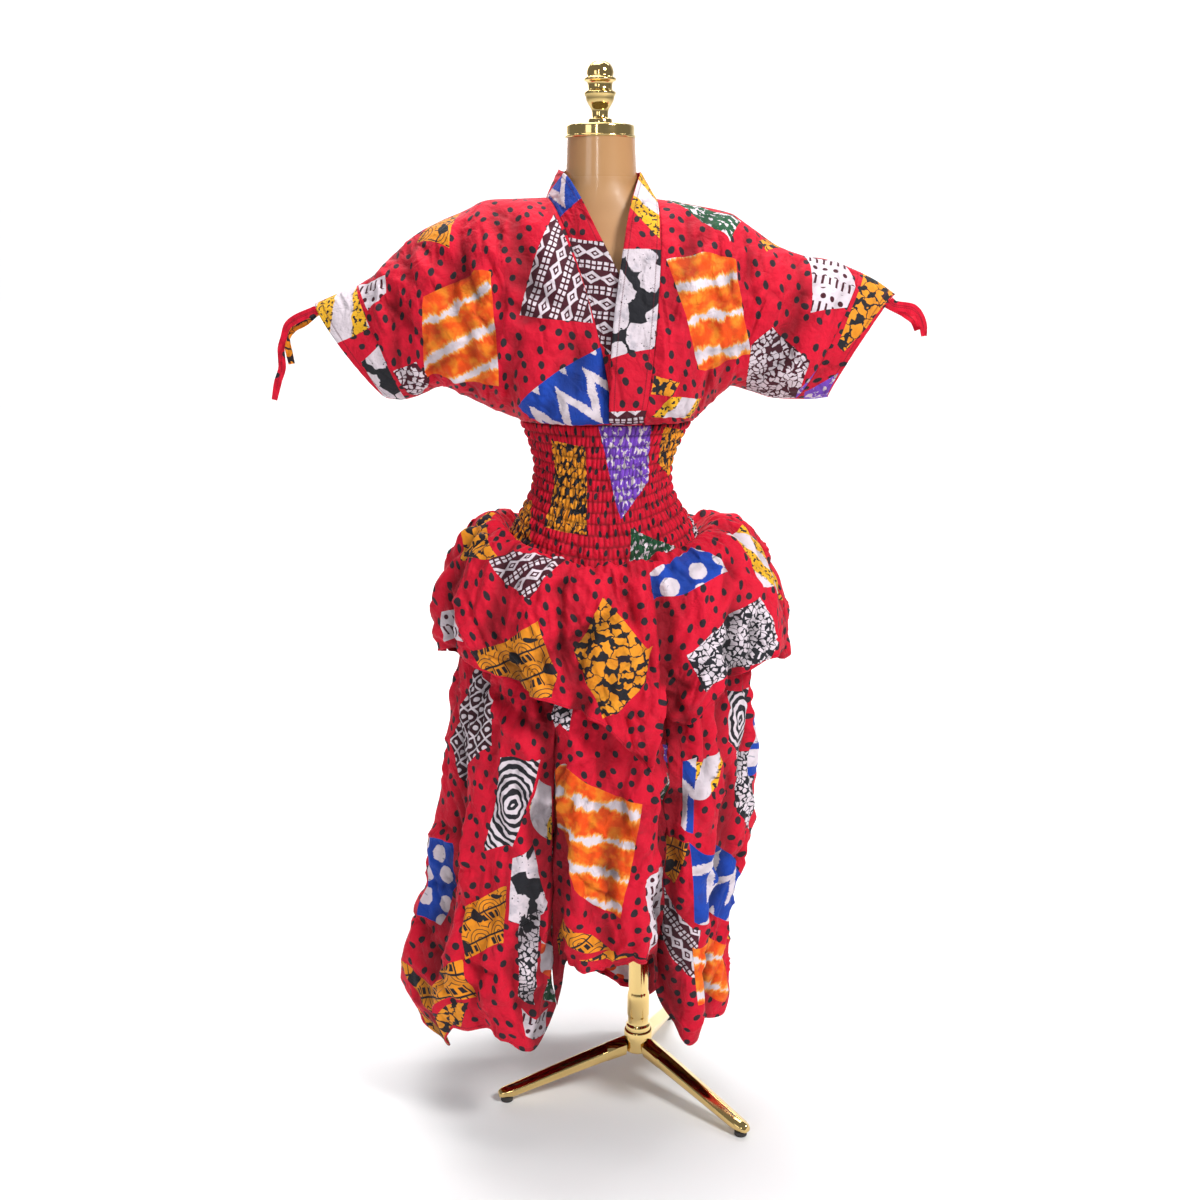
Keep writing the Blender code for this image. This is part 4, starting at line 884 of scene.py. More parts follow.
class Panel:
    """A panel of cloth: surface(u, v) gives its outer side for u in across and v in down."""

    SAMPLES = (240, 120)
    NUDGE = 0.01             # a small step on the panel, over which its scale is measured
    FARTHER = 2.0            # pixels that a metre of distance from the camera counts as

    def __init__(self, surface, across, down, outward, gathered=1.0):
        self.surface, self.across, self.down, self.gathered = surface, across, down, gathered
        self.us = np.linspace(*across, self.SAMPLES[0])
        self.vs = np.linspace(*down, self.SAMPLES[1])
        u, v = np.meshgrid(self.us, self.vs, indexing="ij")
        points = surface(u, v)
        self.steps = ((across[1] - across[0]) / 2000.0, (down[1] - down[0]) / 2000.0)
        along_u, along_v = steepness(surface, u, v, *self.steps)
        normals = np.cross(along_u, along_v)
        middle = normals[self.SAMPLES[0] // 2, self.SAMPLES[1] // 2]
        self.facing = 1.0 if middle @ np.array(outward, float) > 0.0 else -1.0
        steps_down = np.linalg.norm(np.diff(points, axis=1), axis=-1)
        self.flat_y = np.concatenate([np.zeros((len(self.us), 1)), np.cumsum(steps_down, axis=1)], axis=1)
        slant = np.diff(self.flat_y, axis=0) / np.maximum(np.gradient(self.flat_y, axis=1)[1:], 1e-6)
        level = np.diff(points, axis=0) - np.gradient(points, axis=1)[1:] * slant[..., None]
        steps_across = np.linalg.norm(level, axis=-1) * gathered
        steps_across = (steps_across + steps_across.mean(axis=1, keepdims=True)) / 2
        run = np.concatenate([np.zeros((1, len(self.vs))), np.cumsum(steps_across, axis=0)])
        self.flat_x = run - run[self.SAMPLES[0] // 2]
        self.pixels = pixels_of(points)
        towards = CAMERA_PLACE - points
        self.seen = np.sum(normals * self.facing * towards, axis=-1) > 0.0
        self.depth = np.linalg.norm(towards, axis=-1)

    def flat(self, u, v):
        """Where points lie on the flat cloth, in metres."""
        i = np.clip((u - self.us[0]) / (self.us[1] - self.us[0]), 0.0, len(self.us) - 1.001)
        j = np.clip((v - self.vs[0]) / (self.vs[1] - self.vs[0]), 0.0, len(self.vs) - 1.001)
        i0, j0 = i.astype(int), j.astype(int)
        fi, fj = i - i0, j - j0
        found = []
        for grid in (self.flat_x, self.flat_y):
            found.append(grid[i0, j0] * (1 - fi) * (1 - fj) + grid[i0 + 1, j0] * fi * (1 - fj)
                         + grid[i0, j0 + 1] * (1 - fi) * fj + grid[i0 + 1, j0 + 1] * fi * fj)
        return found

    def under_pixel(self, pixel):
        """The place on the cloth that the photo shows nearest to a pixel."""
        off = np.hypot(self.pixels[..., 0] - pixel[0], self.pixels[..., 1] - pixel[1])
        cost = np.where(self.seen, off + self.depth * self.FARTHER, np.inf)
        i, j = np.unravel_index(np.argmin(cost), cost.shape)
        return self.us[i], self.vs[j]

    def on_patch(self, corners, points):
        """Where points lie on a patch laid flat, with its first side drawn level."""
        shape = self.surface(*np.array(corners).T)
        middle = shape.mean(axis=0)
        _, _, axes = np.linalg.svd(shape - middle)
        side = shape[1] - shape[0]
        level = side - axes[2] * (side @ axes[2])
        level /= np.linalg.norm(level)
        away = points - middle
        return away @ level * self.gathered, away @ np.cross(axes[2], level)

    def around_place(self, u, v, width, length, tilt):
        """The four corners of a patch of a real width and length round a place."""
        here = self.surface(np.array(u), np.array(v))
        reach_u = np.linalg.norm(self.surface(np.array(u + self.NUDGE), np.array(v)) - here)
        reach_v = np.linalg.norm(self.surface(np.array(u), np.array(v + self.NUDGE)) - here)
        corners = []
        for x, y in ((-0.5, -0.5), (0.5, -0.5), (0.5, 0.5), (-0.5, 0.5)):
            x, y = x * width, y * length
            turned_x = x * cos(radians(tilt)) - y * sin(radians(tilt))
            turned_y = x * sin(radians(tilt)) + y * cos(radians(tilt))
            corners.append((u + turned_x * self.NUDGE / reach_u, v + turned_y * self.NUDGE / reach_v))
        return corners


def inside(point, corners):
    """Whether a point lies inside a patch without hollows, by the turn at each of its sides."""
    turns = [(b.x - a.x) * (point.y - a.y) - (b.y - a.y) * (point.x - a.x)
             for a, b in zip(corners, corners[1:] + corners[:1])]
    area = sum(a.x * b.y - b.x * a.y for a, b in zip(corners, corners[1:] + corners[:1]))
    return all(turn * area >= 0.0 for turn in turns)


def sew(name, node, panel, cells, seen_patches, hidden_patches, relief, limit=None, edge=None,
        wall=WALL, closed=False, seen_folds=(), hidden_folds=(), shade=(0.008, 0.018), depth=None):
    """Make the shell of a panel with its patches, in the place of its node.

    seen_patches name a print and the photo's pixels of the patch's corners, and hidden_patches
    a print, the middle on the panel, a width, a length and a tilt. relief(u, v, x, y) raises the
    outer side, limit(points) keeps it on its side of a seam, and edge(u, v) is the
    distance from a finished edge. seen_folds run from one pixel of the photo to another and
    hidden_folds from one place on the panel to another, each with its width and height. shade
    is the relief over which the colour has no painted shade, and how far below it a hollow's
    painted shade is darkest, and depth(u, v) is the height of the panel's own folds, counted in it.
    """
    u0, u1 = panel.across
    v0, v1 = panel.down
    bm = bmesh.new()
    bmesh.ops.create_grid(bm, x_segments=cells[0], y_segments=cells[1], size=0.5)
    patch_of = bm.faces.layers.int.new("patch")
    patches = [(print_name, [panel.under_pixel(pixel) for pixel in corners])
               for print_name, corners in seen_patches]
    patches += [(row[0], panel.around_place(*row[1:])) for row in hidden_patches]
    margin_x, margin_y = 1.5 / cells[0], 1.5 / cells[1]
    for number, (print_name, corners) in enumerate(patches, start=1):
        shape = [Vector(((u - u0) / (u1 - u0) - 0.5, (v - v0) / (v1 - v0) - 0.5, 0.0)) for u, v in corners]
        low_x, high_x = min(p.x for p in shape) - margin_x, max(p.x for p in shape) + margin_x
        low_y, high_y = min(p.y for p in shape) - margin_y, max(p.y for p in shape) + margin_y
        near = []
        for face in bm.faces:
            centre = face.calc_center_median()
            if low_x < centre.x < high_x and low_y < centre.y < high_y:
                near.append(face)
        for a, b in zip(shape, shape[1:] + shape[:1]):
            if (b - a).length < 1e-5:
                continue
            across_line = Vector((a.y - b.y, b.x - a.x, 0.0)).normalized()
            geometry = list({item for face in near for item in (face, *face.edges, *face.verts)})
            cut = bmesh.ops.bisect_plane(bm, geom=geometry, dist=MERGE, plane_co=a, plane_no=across_line)
            near = [item for item in cut["geom"] if isinstance(item, bmesh.types.BMFace)]
        for face in near:
            if inside(face.calc_center_median(), shape):
                face[patch_of] = number
    mesh = bpy.data.meshes.new(name)
    bm.to_mesh(mesh)
    bm.free()

    def calm(u, v):
        """0 along the panel's first edges and 1 from a twentieth of the way in."""
        near_u = np.minimum(u - u0, u1 - u) / (u1 - u0) * 40.0
        return np.clip(near_u, 0.0, 1.0) * np.clip((v - v0) / (v1 - v0) * 20.0, 0.0, 1.0)

    count = len(mesh.vertices)
    places = np.empty(count * 3)
    mesh.vertices.foreach_get("co", places)
    places = places.reshape(-1, 3)
    u = u0 + (places[:, 0] + 0.5) * (u1 - u0)
    v = v0 + (places[:, 1] + 0.5) * (v1 - v0)
    flat_x, flat_y = panel.flat(u, v)
    smooth_points = panel.surface(u, v)
    along_u, along_v = steepness(panel.surface, np.clip(u, u0 + panel.steps[0], u1 - panel.steps[0]),
                                 np.clip(v, v0 + panel.steps[1], v1 - panel.steps[1]), *panel.steps)
    normals = np.cross(along_u, along_v) * panel.facing
    normals /= np.linalg.norm(normals, axis=1)[:, None]
    ends = [(panel.under_pixel(row[0:2]), panel.under_pixel(row[2:4]), *row[4:]) for row in seen_folds]
    ends += [(row[0:2], row[2:4], *row[4:]) for row in hidden_folds]
    folds = [(*panel.flat(*np.array(start)), *panel.flat(*np.array(end)), wide, height)
             for start, end, wide, height in ends]
    lift = relief(u, v, flat_x, flat_y) + creases(flat_x, flat_y, folds) * calm(u, v)
    points = smooth_points + normals * lift[:, None]
    if limit is not None:
        points = limit(points)
    mesh.vertices.foreach_set("co", (points + PLACE).astype(np.float32).ravel())

    loop_vertex = np.empty(len(mesh.loops), int)
    mesh.loops.foreach_get("vertex_index", loop_vertex)
    sizes = np.empty(len(mesh.polygons), int)
    mesh.polygons.foreach_get("loop_total", sizes)
    patch = np.empty(len(mesh.polygons), int)
    mesh.attributes["patch"].data.foreach_get("value", patch)
    loop_patch = np.repeat(patch, sizes)
    x, y = flat_x[loop_vertex], flat_y[loop_vertex]
    used = ["dots"]
    for number, (print_name, corners) in enumerate(patches, start=1):
        if print_name not in used:
            used.append(print_name)
        own = loop_patch == number
        x[own], y[own] = panel.on_patch(corners, smooth_points[loop_vertex[own]])
    uv = mesh.uv_layers.new(name="cloth")
    uv.data.foreach_set("uv", np.stack([x, y], axis=1).astype(np.float32).ravel())
    for print_name in used:
        mesh.materials.append(PRINTS[print_name])
    index = np.array([0] + [used.index(print_name) for print_name, _ in patches])[patch]
    mesh.polygons.foreach_set("material_index", index)
    mesh.attributes.remove(mesh.attributes["patch"])
    distance = edge(u, v) if edge is not None else np.full(count, 1.0)
    # Painted shade: the deeper a point lies in the relief and in the panel's own folds, the darker its
    # colour is drawn.
    if depth is not None:
        lift = lift + depth(u, v)
    hollow = np.clip((shade[0] - lift) / shade[1], 0.0, 1.0)
    for attribute, values in (("edge", distance), ("hollow", hollow)):
        kept = mesh.attributes.new(attribute, "FLOAT", "POINT")
        kept.data.foreach_set("value", values.astype(np.float32))
    if panel.facing * (u1 - u0) * (v1 - v0) < 0.0:
        mesh.flip_normals()
    mesh.shade_smooth()
    mesh.update()

    piece = bpy.data.objects.new(name, mesh)
    bpy.context.scene.collection.objects.link(piece)
    if closed:
        weld = piece.modifiers.new("seam", "WELD")
        weld.merge_threshold = SEAM_MERGE
    solidify = piece.modifiers.new("wall", "SOLIDIFY")
    solidify.thickness = wall
    solidify.offset = -1.0
    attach(piece, "root")
    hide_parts(node)
    return piece


FRONT_CELLS = (110, 120)
BACK_CELLS = (200, 110)
BODICE_LAYERS = [  # spacing and height of the pleats, sets of them, lean
    (0.100, 0.0075, 5, 0.9), (0.045, 0.0042, 6, 1.0), (0.019, 0.0012, 6, 1.3),
]


def bodice_relief(seed, has_neck_seam):
    """Crushed cloth with gathers that rise from the waist, flat along the seams."""
    def relief(station, turn, x, y):
        rim = np.clip(np.sin(turn), 0.0, 1.0) ** 0.6
        own = np.abs(station)
        rim = rim * np.clip((CUFF_SEAM - own) / 0.3, 0.0, 1.0)
        if has_neck_seam:
            rim = rim * np.clip(own / 0.5, 0.0, 1.0)
        crushed = crumple(x, y, seed, BODICE_LAYERS)
        near_waist = np.clip((turn - 2.2) / 0.8, 0.0, 1.0) * np.clip(1.0 - (own - 2.5) / 1.2, 0.0, 1.0)
        gathers = 0.0016 * near_waist * np.sin(x * tau / 0.017 + 1.3 * np.sin(x * tau / 0.08))
        return rim * (crushed + gathers)
    return relief


def back_relief(station, turn, x, y):
    """The back has its neck seam at stations -1 to 1, so it is crushed right to its middle."""
    return bodice_relief(7, False)(np.abs(station) - 1.0, turn, x, y)


def before_side_seam(points):
    points[:, 1] = np.minimum(points[:, 1], -GAP / 2)
    return points


def behind_side_seam(points):
    points[:, 1] = np.maximum(points[:, 1], GAP / 2)
    return points


left_front = Panel(lambda s, t: rib_points(LEFT_RIBS, s, t, -1), (0.0, CUFF_SEAM), (0.0, pi), (0, -1, 0))
LEFT_FRONT_PATCHES = [  # print, corners in the photo
    ("arcs", [(416, 241), (432, 216), (462, 210), (452, 250)]),
    ("tie_dye", [(425, 297), (475, 270), (493, 272), (500, 385), (427, 378)]),
    ("diamonds", [(555, 214), (521, 316), (594, 324), (590, 296)]),
    ("zigzag", [(603, 347), (520, 405), (548, 424), (616, 427)]),
    ("stripes", [(356, 284), (388, 276), (387, 293), (368, 310)]),
    ("maroon_pebbles", [(390, 374), (417, 361), (431, 378), (420, 397), (402, 401)]),
]
LEFT_FRONT_FOLDS = [  # from and to in the photo, width, height
    (462, 222, 476, 292, 0.008, -0.006), (452, 226, 462, 290, 0.010, 0.006),
    (492, 206, 520, 224, 0.006, -0.004), (510, 214, 508, 244, 0.005, 0.004),
    (482, 236, 520, 312, 0.007, -0.005), (497, 252, 530, 330, 0.007, 0.004),
    (386, 256, 428, 300, 0.007, -0.005), (380, 274, 424, 330, 0.008, 0.005),
    (372, 298, 430, 352, 0.006, -0.005), (404, 240, 440, 292, 0.006, 0.004),
    (420, 376, 470, 352, 0.007, -0.005), (440, 392, 492, 372, 0.006, 0.004),
    (505, 402, 530, 350, 0.006, -0.004), (540, 410, 552, 360, 0.006, 0.004),
    (575, 416, 580, 352, 0.006, -0.004), (520, 372, 560, 338, 0.005, -0.003),
    (432, 292, 470, 272, 0.005, -0.004), (430, 354, 476, 340, 0.006, 0.004),
]
left_piece = sew("front_left_cloth", "bodice_front_left", left_front, FRONT_CELLS,
                 LEFT_FRONT_PATCHES, (), bodice_relief(3, True), before_side_seam,
                 seen_folds=LEFT_FRONT_FOLDS)

right_front = Panel(lambda s, t: rib_points(RIGHT_RIBS, s, t, 1), (0.0, CUFF_SEAM), (0.0, pi), (0, -1, 0))
RIGHT_FRONT_PATCHES = [  # print, corners in the photo
    ("green", [(655, 200), (742, 222), (730, 243), (690, 212)]),
    ("tie_dye", [(667, 260), (703, 252), (736, 260), (752, 355), (700, 370)]),
    ("maroon_pebbles", [(753, 345), (773, 327), (810, 360), (800, 402), (748, 392)]),
    ("crackle", [(760, 241), (774, 233), (784, 248), (768, 252)]),
    ("stripes", [(803, 252), (845, 258), (866, 290), (848, 308), (812, 312)]),
    ("purple", [(800, 388), (826, 372), (832, 400), (800, 404)]),
    ("crackle", [(655, 375), (706, 388), (702, 398), (672, 396), (652, 418), (644, 418)]),
    ("specks", [(672, 396), (702, 398), (690, 418), (652, 418)]),
]
RIGHT_FRONT_FOLDS = [  # from and to in the photo, width, height
    (690, 214, 700, 262, 0.007, -0.005), (720, 222, 738, 282, 0.008, 0.005),
    (748, 232, 752, 300, 0.008, -0.006), (768, 246, 778, 320, 0.007, 0.005),
    (800, 262, 790, 340, 0.007, -0.005), (826, 268, 818, 330, 0.006, 0.004),
    (760, 380, 800, 340, 0.007, -0.005), (730, 376, 742, 330, 0.007, 0.005),
    (700, 408, 712, 366, 0.006, -0.004), (672, 412, 680, 370, 0.006, 0.004),
    (664, 300, 690, 332, 0.005, -0.003), (838, 300, 846, 352, 0.006, -0.004),
    (790, 392, 826, 352, 0.006, 0.004), (704, 356, 742, 348, 0.005, -0.004),
    (672, 240, 684, 262, 0.005, 0.003),
]
right_piece = sew("front_right_cloth", "bodice_front_right", right_front, FRONT_CELLS,
                  RIGHT_FRONT_PATCHES, (), bodice_relief(5, True), before_side_seam,
                  seen_folds=RIGHT_FRONT_FOLDS)

back = Panel(back_points, (-CUFF_SEAM - 1.0, CUFF_SEAM + 1.0), (0.0, pi), (0, 1, 0))
BACK_PATCHES = [  # print, station, turn, width, length, tilt
    ("tie_dye", -3.6, 1.2, 0.090, 0.150, 4.0),
    ("petals", 0.3, 1.3, 0.100, 0.130, -12.0),
    ("arcs", 3.4, 1.0, 0.085, 0.110, 18.0),
    ("zigzag", 2.2, 2.3, 0.110, 0.075, -8.0),
    ("diamonds", -1.8, 2.2, 0.080, 0.100, 25.0),
    ("green", -6.4, 1.1, 0.070, 0.085, -15.0),
    ("maroon_pebbles", 6.3, 1.7, 0.075, 0.090, 10.0),
    ("crackle", -5.0, 2.2, 0.060, 0.060, 30.0),
    ("purple", 0.2, 2.5, 0.060, 0.055, 5.0),
]
BACK_FOLDS = [  # from station and turn to station and turn, width, height
    (-5.6, 0.7, -4.4, 2.0, 0.008, -0.006), (-4.8, 0.6, -3.8, 1.8, 0.008, 0.005),
    (-3.2, 0.7, -2.6, 2.2, 0.008, -0.006), (-2.0, 1.0, -1.4, 2.6, 0.008, 0.005),
    (-0.6, 1.5, -0.4, 2.9, 0.008, -0.005), (0.4, 1.4, 0.5, 2.8, 0.008, 0.005),
    (1.4, 1.2, 1.1, 2.7, 0.008, -0.006), (2.6, 0.8, 2.0, 2.4, 0.008, 0.006),
    (3.8, 0.6, 3.0, 2.0, 0.008, -0.006), (5.0, 0.7, 4.2, 2.0, 0.008, 0.005),
    (6.0, 0.8, 5.0, 2.2, 0.007, -0.006), (7.0, 0.9, 6.0, 2.2, 0.007, 0.005),
    (-7.2, 0.9, -6.2, 2.1, 0.007, -0.005), (-0.3, 0.6, 0.6, 1.4, 0.007, -0.004),
    (-6.6, 0.8, -5.4, 2.1, 0.007, 0.005),
]
back_piece = sew("back_cloth", "bodice_back", back, BACK_CELLS, (), BACK_PATCHES, back_relief,
                 behind_side_seam, hidden_folds=BACK_FOLDS)

# Cuffs
# A band round the end of each sleeve, cut double and turned in at the rim, with a row of
# stitches beside its edge.
CUFF_GAP = 0.012         # in stations, about a seam's gap
CUFF_STATION = 0.018     # how long a station is along the cuff
CUFF_CELLS = (110, 24)
CUFF_LAYERS = [(0.045, 0.0012, 4, 1.5), (0.018, 0.0006, 5, 1.5)]
CUFFS = {  # piece: ribs, side, patches seen in the photo, patches on the hidden side
    "cuff_left": (LEFT_RIBS, -1, [
        ("specks", [(312, 303), (357, 282), (371, 328), (338, 344)]),
        ("petals", [(362, 362), (380, 345), (393, 376), (408, 402), (384, 400)])],
        [("zigzag", 4.6, 9.0, 0.070, 0.050, 0.0)]),
    "cuff_right": (RIGHT_RIBS, 1, [
        ("crackle", [(866, 268), (903, 296), (866, 330), (845, 352), (838, 345), (852, 310)]),
        ("purple", [(806, 392), (840, 372), (838, 404), (806, 404)])],
        [("green", 4.8, 9.0, 0.070, 0.050, 0.0)]),
}


def cuff_points(ribs, side):
    def surface(turn, station):
        front = rib_points(ribs, station, turn, side)
        rear = rib_points(ribs, station, tau - turn, side, back=True)
        return np.where((turn <= pi)[..., None], front, rear)
    return surface


def cuff_relief(turn, station, x, y):
    crushed = crumple(x, y, 11, CUFF_LAYERS)
    return crushed * np.abs(np.sin(turn)) ** 0.7 * np.clip((station - CUFF_SEAM) / 0.4, 0.0, 1.0)


def to_rim(turn, station):
    return (CUFF_EDGE - station) * CUFF_STATION


for name, (ribs, side, seen, hidden) in CUFFS.items():
    stations = (CUFF_SEAM + CUFF_GAP, CUFF_EDGE)
    panel = Panel(cuff_points(ribs, side), (0.0, tau), stations, (0, 1, 0))
    piece = sew(name + "_cloth", name, panel, CUFF_CELLS, seen, hidden, cuff_relief, edge=to_rim,
                closed=True)

# Neckbands
# A folded band up each side of the opening and round the neck, joined at the middle of the back.
# The right one laps over the left from the breast down.
LEFT_EDGE = [  # turn down the front rib, x, y and height of the band's free edge
    (0.00, -0.0640, -0.0020, 1.5560),
    (0.45, -0.0500, -0.0450, 1.5440),
    (0.80, -0.0290, -0.0780, 1.5110),
    (1.15, -0.0080, -0.0990, 1.4700),
    (1.50, 0.0180, -0.1080, 1.4200),
    (1.80, 0.0400, -0.1125, 1.3680),
    (2.20, 0.0550, -0.1140, 1.2720),
    (2.70, 0.0600, -0.1030, 1.1920),
    (pi, 0.0600, -0.0878, WAIST_SEAM),
]
RIGHT_EDGE = [  # turn down the front rib, x, y and height of the band's free edge
    (0.00, 0.0630, -0.0020, 1.5520),
    (0.45, 0.0560, -0.0430, 1.5330),
    (0.80, 0.0440, -0.0830, 1.4930),
    (1.15, 0.0350, -0.1100, 1.4380),
    (1.50, 0.0265, -0.1190, 1.3800),
    (1.80, 0.0200, -0.1230, 1.3250),
    (2.20, 0.0150, -0.1290, 1.2440),
    (2.70, 0.0135, -0.1285, 1.1865),
    (pi, 0.0135, -0.1002, WAIST_SEAM),
]
BACK_EDGE = [  # station of the back neckline, x, y and height of the band's free edge
    (-1.0, -0.0640, 0.0020, 1.5560),
    (-0.8, -0.0600, 0.0260, 1.5550),
    (-0.5, -0.0430, 0.0470, 1.5530),
    (0.0, 0.0010, 0.0630, 1.5510),
    (0.5, 0.0450, 0.0470, 1.5510),
    (0.8, 0.0590, 0.0240, 1.5520),
    (1.0, 0.0630, 0.0020, 1.5520),
]
BAND_WALL = 0.0018
BAND_GAP = 0.0005
BAND_CELLS = (18, 260)
BAND_WIDTH = 0.044
BAND_ROLL = 0.0006       # how far the folded band swells in its middle
BAND_LAYERS = [(0.050, 0.0007, 4, 1.5), (0.02, 0.0004, 4, 1.5)]
BAND_SAMPLES = (90, 29)  # on the front and on the back neckline
BANDS = {  # piece: ribs, side, free edge, patches seen in the photo
    "neckband_left": (LEFT_RIBS, -1, LEFT_EDGE, [
        ("zigzag", [(572, 164), (545, 203), (561, 218), (584, 196)]),
        ("diamonds", [(560, 240), (604, 240), (622, 276), (612, 356), (600, 342)])]),
    "neckband_right": (RIGHT_RIBS, 1, RIGHT_EDGE, [
        ("specks", [(637, 166), (631, 208), (661, 238), (658, 198)]),
        ("petals", [(622, 249), (664, 250), (655, 350), (611, 358)]),
        ("diamonds", [(606, 412), (648, 410), (646, 424), (606, 428)])]),
}


def band_points(ribs, side, edge):
    """Between the bodice's seam and the free edge, from the waist (0) to the back's middle (1)."""
    front, behind = BAND_SAMPLES
    turns = np.linspace(pi, 0.0, front)
    reach = np.linspace(1.0, 0.0, behind + 1)[1:] * side
    seam = np.concatenate([rib_points(ribs, np.zeros(front), turns, side),
                           back_points(reach, np.zeros(behind))])
    free_front = np.stack(columns(edge, turns, 1, 2, 3), axis=-1)
    free_back = np.stack(columns(BACK_EDGE, reach, 1, 2, 3), axis=-1)
    free = np.concatenate([free_front, free_back])
    away = (free - seam) / np.linalg.norm(free - seam, axis=1)[:, None]
    seam = seam + away * BAND_GAP
    run = run_along(seam + free)
    run /= run[-1]

    def surface(across, along):
        start = np.stack([np.interp(along, run, seam[:, k]) for k in range(3)], axis=-1)
        end = np.stack([np.interp(along, run, free[:, k]) for k in range(3)], axis=-1)
        share = np.asarray(across)[..., None]
        return start * (1.0 - share) + end * share
    return surface


def band_relief(across, along, x, y):
    roll = BAND_ROLL * np.sin(pi * np.clip(across, 0.0, 1.0))
    quiet = np.clip(across * 6.0, 0.0, 1.0)
    return roll + quiet * crumple(x, y, 13, BAND_LAYERS)


def to_edge(across, along):
    return np.minimum(1.0 - across, across + 0.02) * BAND_WIDTH


for name, (ribs, side, edge_rows, seen) in BANDS.items():
    panel = Panel(band_points(ribs, side, edge_rows), (0.0, 1.0), (0.0, 1.0), (0, -1, 0))

    def own_side(points, side=side):
        centre = BACK_NECK[3][1] + side * GAP / 2
        behind = points[:, 1] > 0.03
        kept = np.minimum(points[:, 0], centre) if side < 0 else np.maximum(points[:, 0], centre)
        points[:, 0] = np.where(behind, kept, points[:, 0])
        points[:, 2] = np.maximum(points[:, 2], WAIST_SEAM)
        return points

    piece = sew(name + "_cloth", name, panel, BAND_CELLS, seen, (), band_relief, own_side, to_edge,
                BAND_WALL)

# Ties
# Narrow folded strips sewn to the rim of each cuff, left hanging open.
TIE_THICKNESS = 0.0020
TIE_ROOT_TURN = 0.50
TIE_LEAD = 0.010
TIE_STOPS = 16           # between two rows of the table
TIE_CURL = (0.0012, 0.022)  # height and length of a wave of the cloth
TIE_SIDES = (1, 0.5, 0, -0.5, -1)
TIE_LOOP = [(share, 1) for share in TIE_SIDES] + [(-share, -1) for share in TIE_SIDES]
TIES = {  # piece: ribs, side, on the back, x, y, height and half width along it, its print
    "tie_left_front": (LEFT_RIBS, -1, False, [
        (-0.4760, -0.0190, 1.3290, 0.0070), (-0.4910, -0.0130, 1.3180, 0.0060),
        (-0.4985, -0.0075, 1.3010, 0.0050), (-0.5040, -0.0070, 1.2790, 0.0055),
        (-0.5030, -0.0080, 1.2560, 0.0060), (-0.5110, -0.0080, 1.2300, 0.0060),
        (-0.5180, -0.0070, 1.2020, 0.0045)], "dots"),
    "tie_left_back": (LEFT_RIBS, -1, True, [
        (-0.4700, 0.0170, 1.3240, 0.0075), (-0.4860, 0.0080, 1.3140, 0.0065),
        (-0.4960, 0.0010, 1.2960, 0.0055), (-0.4930, 0.0020, 1.2760, 0.0055),
        (-0.4900, 0.0030, 1.2580, 0.0050)], "crackle"),
    "tie_right_front": (RIGHT_RIBS, 1, False, [
        (0.4860, -0.0200, 1.3460, 0.0075), (0.5020, -0.0120, 1.3330, 0.0065),
        (0.5090, -0.0070, 1.3170, 0.0060), (0.5110, -0.0060, 1.3020, 0.0045)], "dots"),
    "tie_right_back": (RIGHT_RIBS, 1, True, [
        (0.4840, 0.0170, 1.3370, 0.0070), (0.4970, 0.0060, 1.3250, 0.0060),
        (0.5020, 0.0020, 1.3110, 0.0050)], "dots"),
}


def rim_point(ribs, side, back, station):
    """A point halfway through the wall of a cuff's rim, where a tie is sewn."""
    at, turn = np.array(float(station)), np.array(TIE_ROOT_TURN)

    def surface(s, t):
        return rib_points(ribs, s, t, side, back)

    along_u, along_v = steepness(surface, at, turn, 1e-4, 1e-4)
    normal = np.cross(along_v, along_u)
    normal = normal / np.linalg.norm(normal)
    normal = normal if normal[2] > 0.0 else -normal
    return surface(at, turn) - normal * BAND_WALL / 2


for name, (ribs, side, back, rows, print_name) in TIES.items():
    root = rim_point(ribs, side, back, CUFF_EDGE)
    lead = root - rim_point(ribs, side, back, CUFF_EDGE - 0.3)
    lead /= np.linalg.norm(lead)
    start, lead_end = root + lead * BAND_GAP, root + lead * (BAND_GAP + TIE_LEAD)
    route = [(*start, rows[0][3]), (*lead_end, rows[0][3])] + rows
    knots = [(float(i), *row) for i, row in enumerate(route)]
    last = float(len(route) - 1)
    stops = np.linspace(0.0, last, TIE_STOPS * (len(route) - 1))
    centre = np.stack(columns(knots, stops, 1, 2, 3), axis=-1)
    along = np.gradient(centre, axis=0)
    along /= np.linalg.norm(along, axis=1)[:, None]
    across = np.cross(np.array([0.0, 1.0, 0.0]), along)
    across /= np.linalg.norm(across, axis=1)[:, None]
    face = np.cross(along, across)
    half = column(knots, stops, 4)
    length = run_along(centre)
    bm = bmesh.new()
    uv = bm.loops.layers.uv.new("cloth")
    edge_at = bm.verts.layers.float.new("edge")
    rings = []
    for j in range(len(stops)):
        curl = TIE_CURL[0] * sin(length[j] * tau / TIE_CURL[1] + 1.0)
        ring = []
        for share, side_of in TIE_LOOP:
            bow = curl * (1.0 - share * share)
            place = centre[j] + across[j] * half[j] * share + face[j] * (bow + side_of * TIE_THICKNESS / 2)
            vert = bm.verts.new(place)
            vert[edge_at] = half[j] * (1.0 - abs(share))
            ring.append(vert)
        rings.append(ring)
    for j, (first, second) in enumerate(zip(rings, rings[1:])):
        for k in range(len(first)):
            n = (k + 1) % len(first)
            quad = bm.faces.new((first[k], first[n], second[n], second[k]))
            for loop, (row, place) in zip(quad.loops, ((j, k), (j, n), (j + 1, n), (j + 1, k))):
                loop[uv].uv = (0.003 * place, length[row])
    bm.faces.new(rings[0])
    bm.faces.new(rings[-1])
    bmesh.ops.recalc_face_normals(bm, faces=bm.faces)
    piece = piece_of(bm, name + "_cloth", PRINTS[print_name], name, 50.0)
    "cuff_left" if side < 0 else "cuff_right"

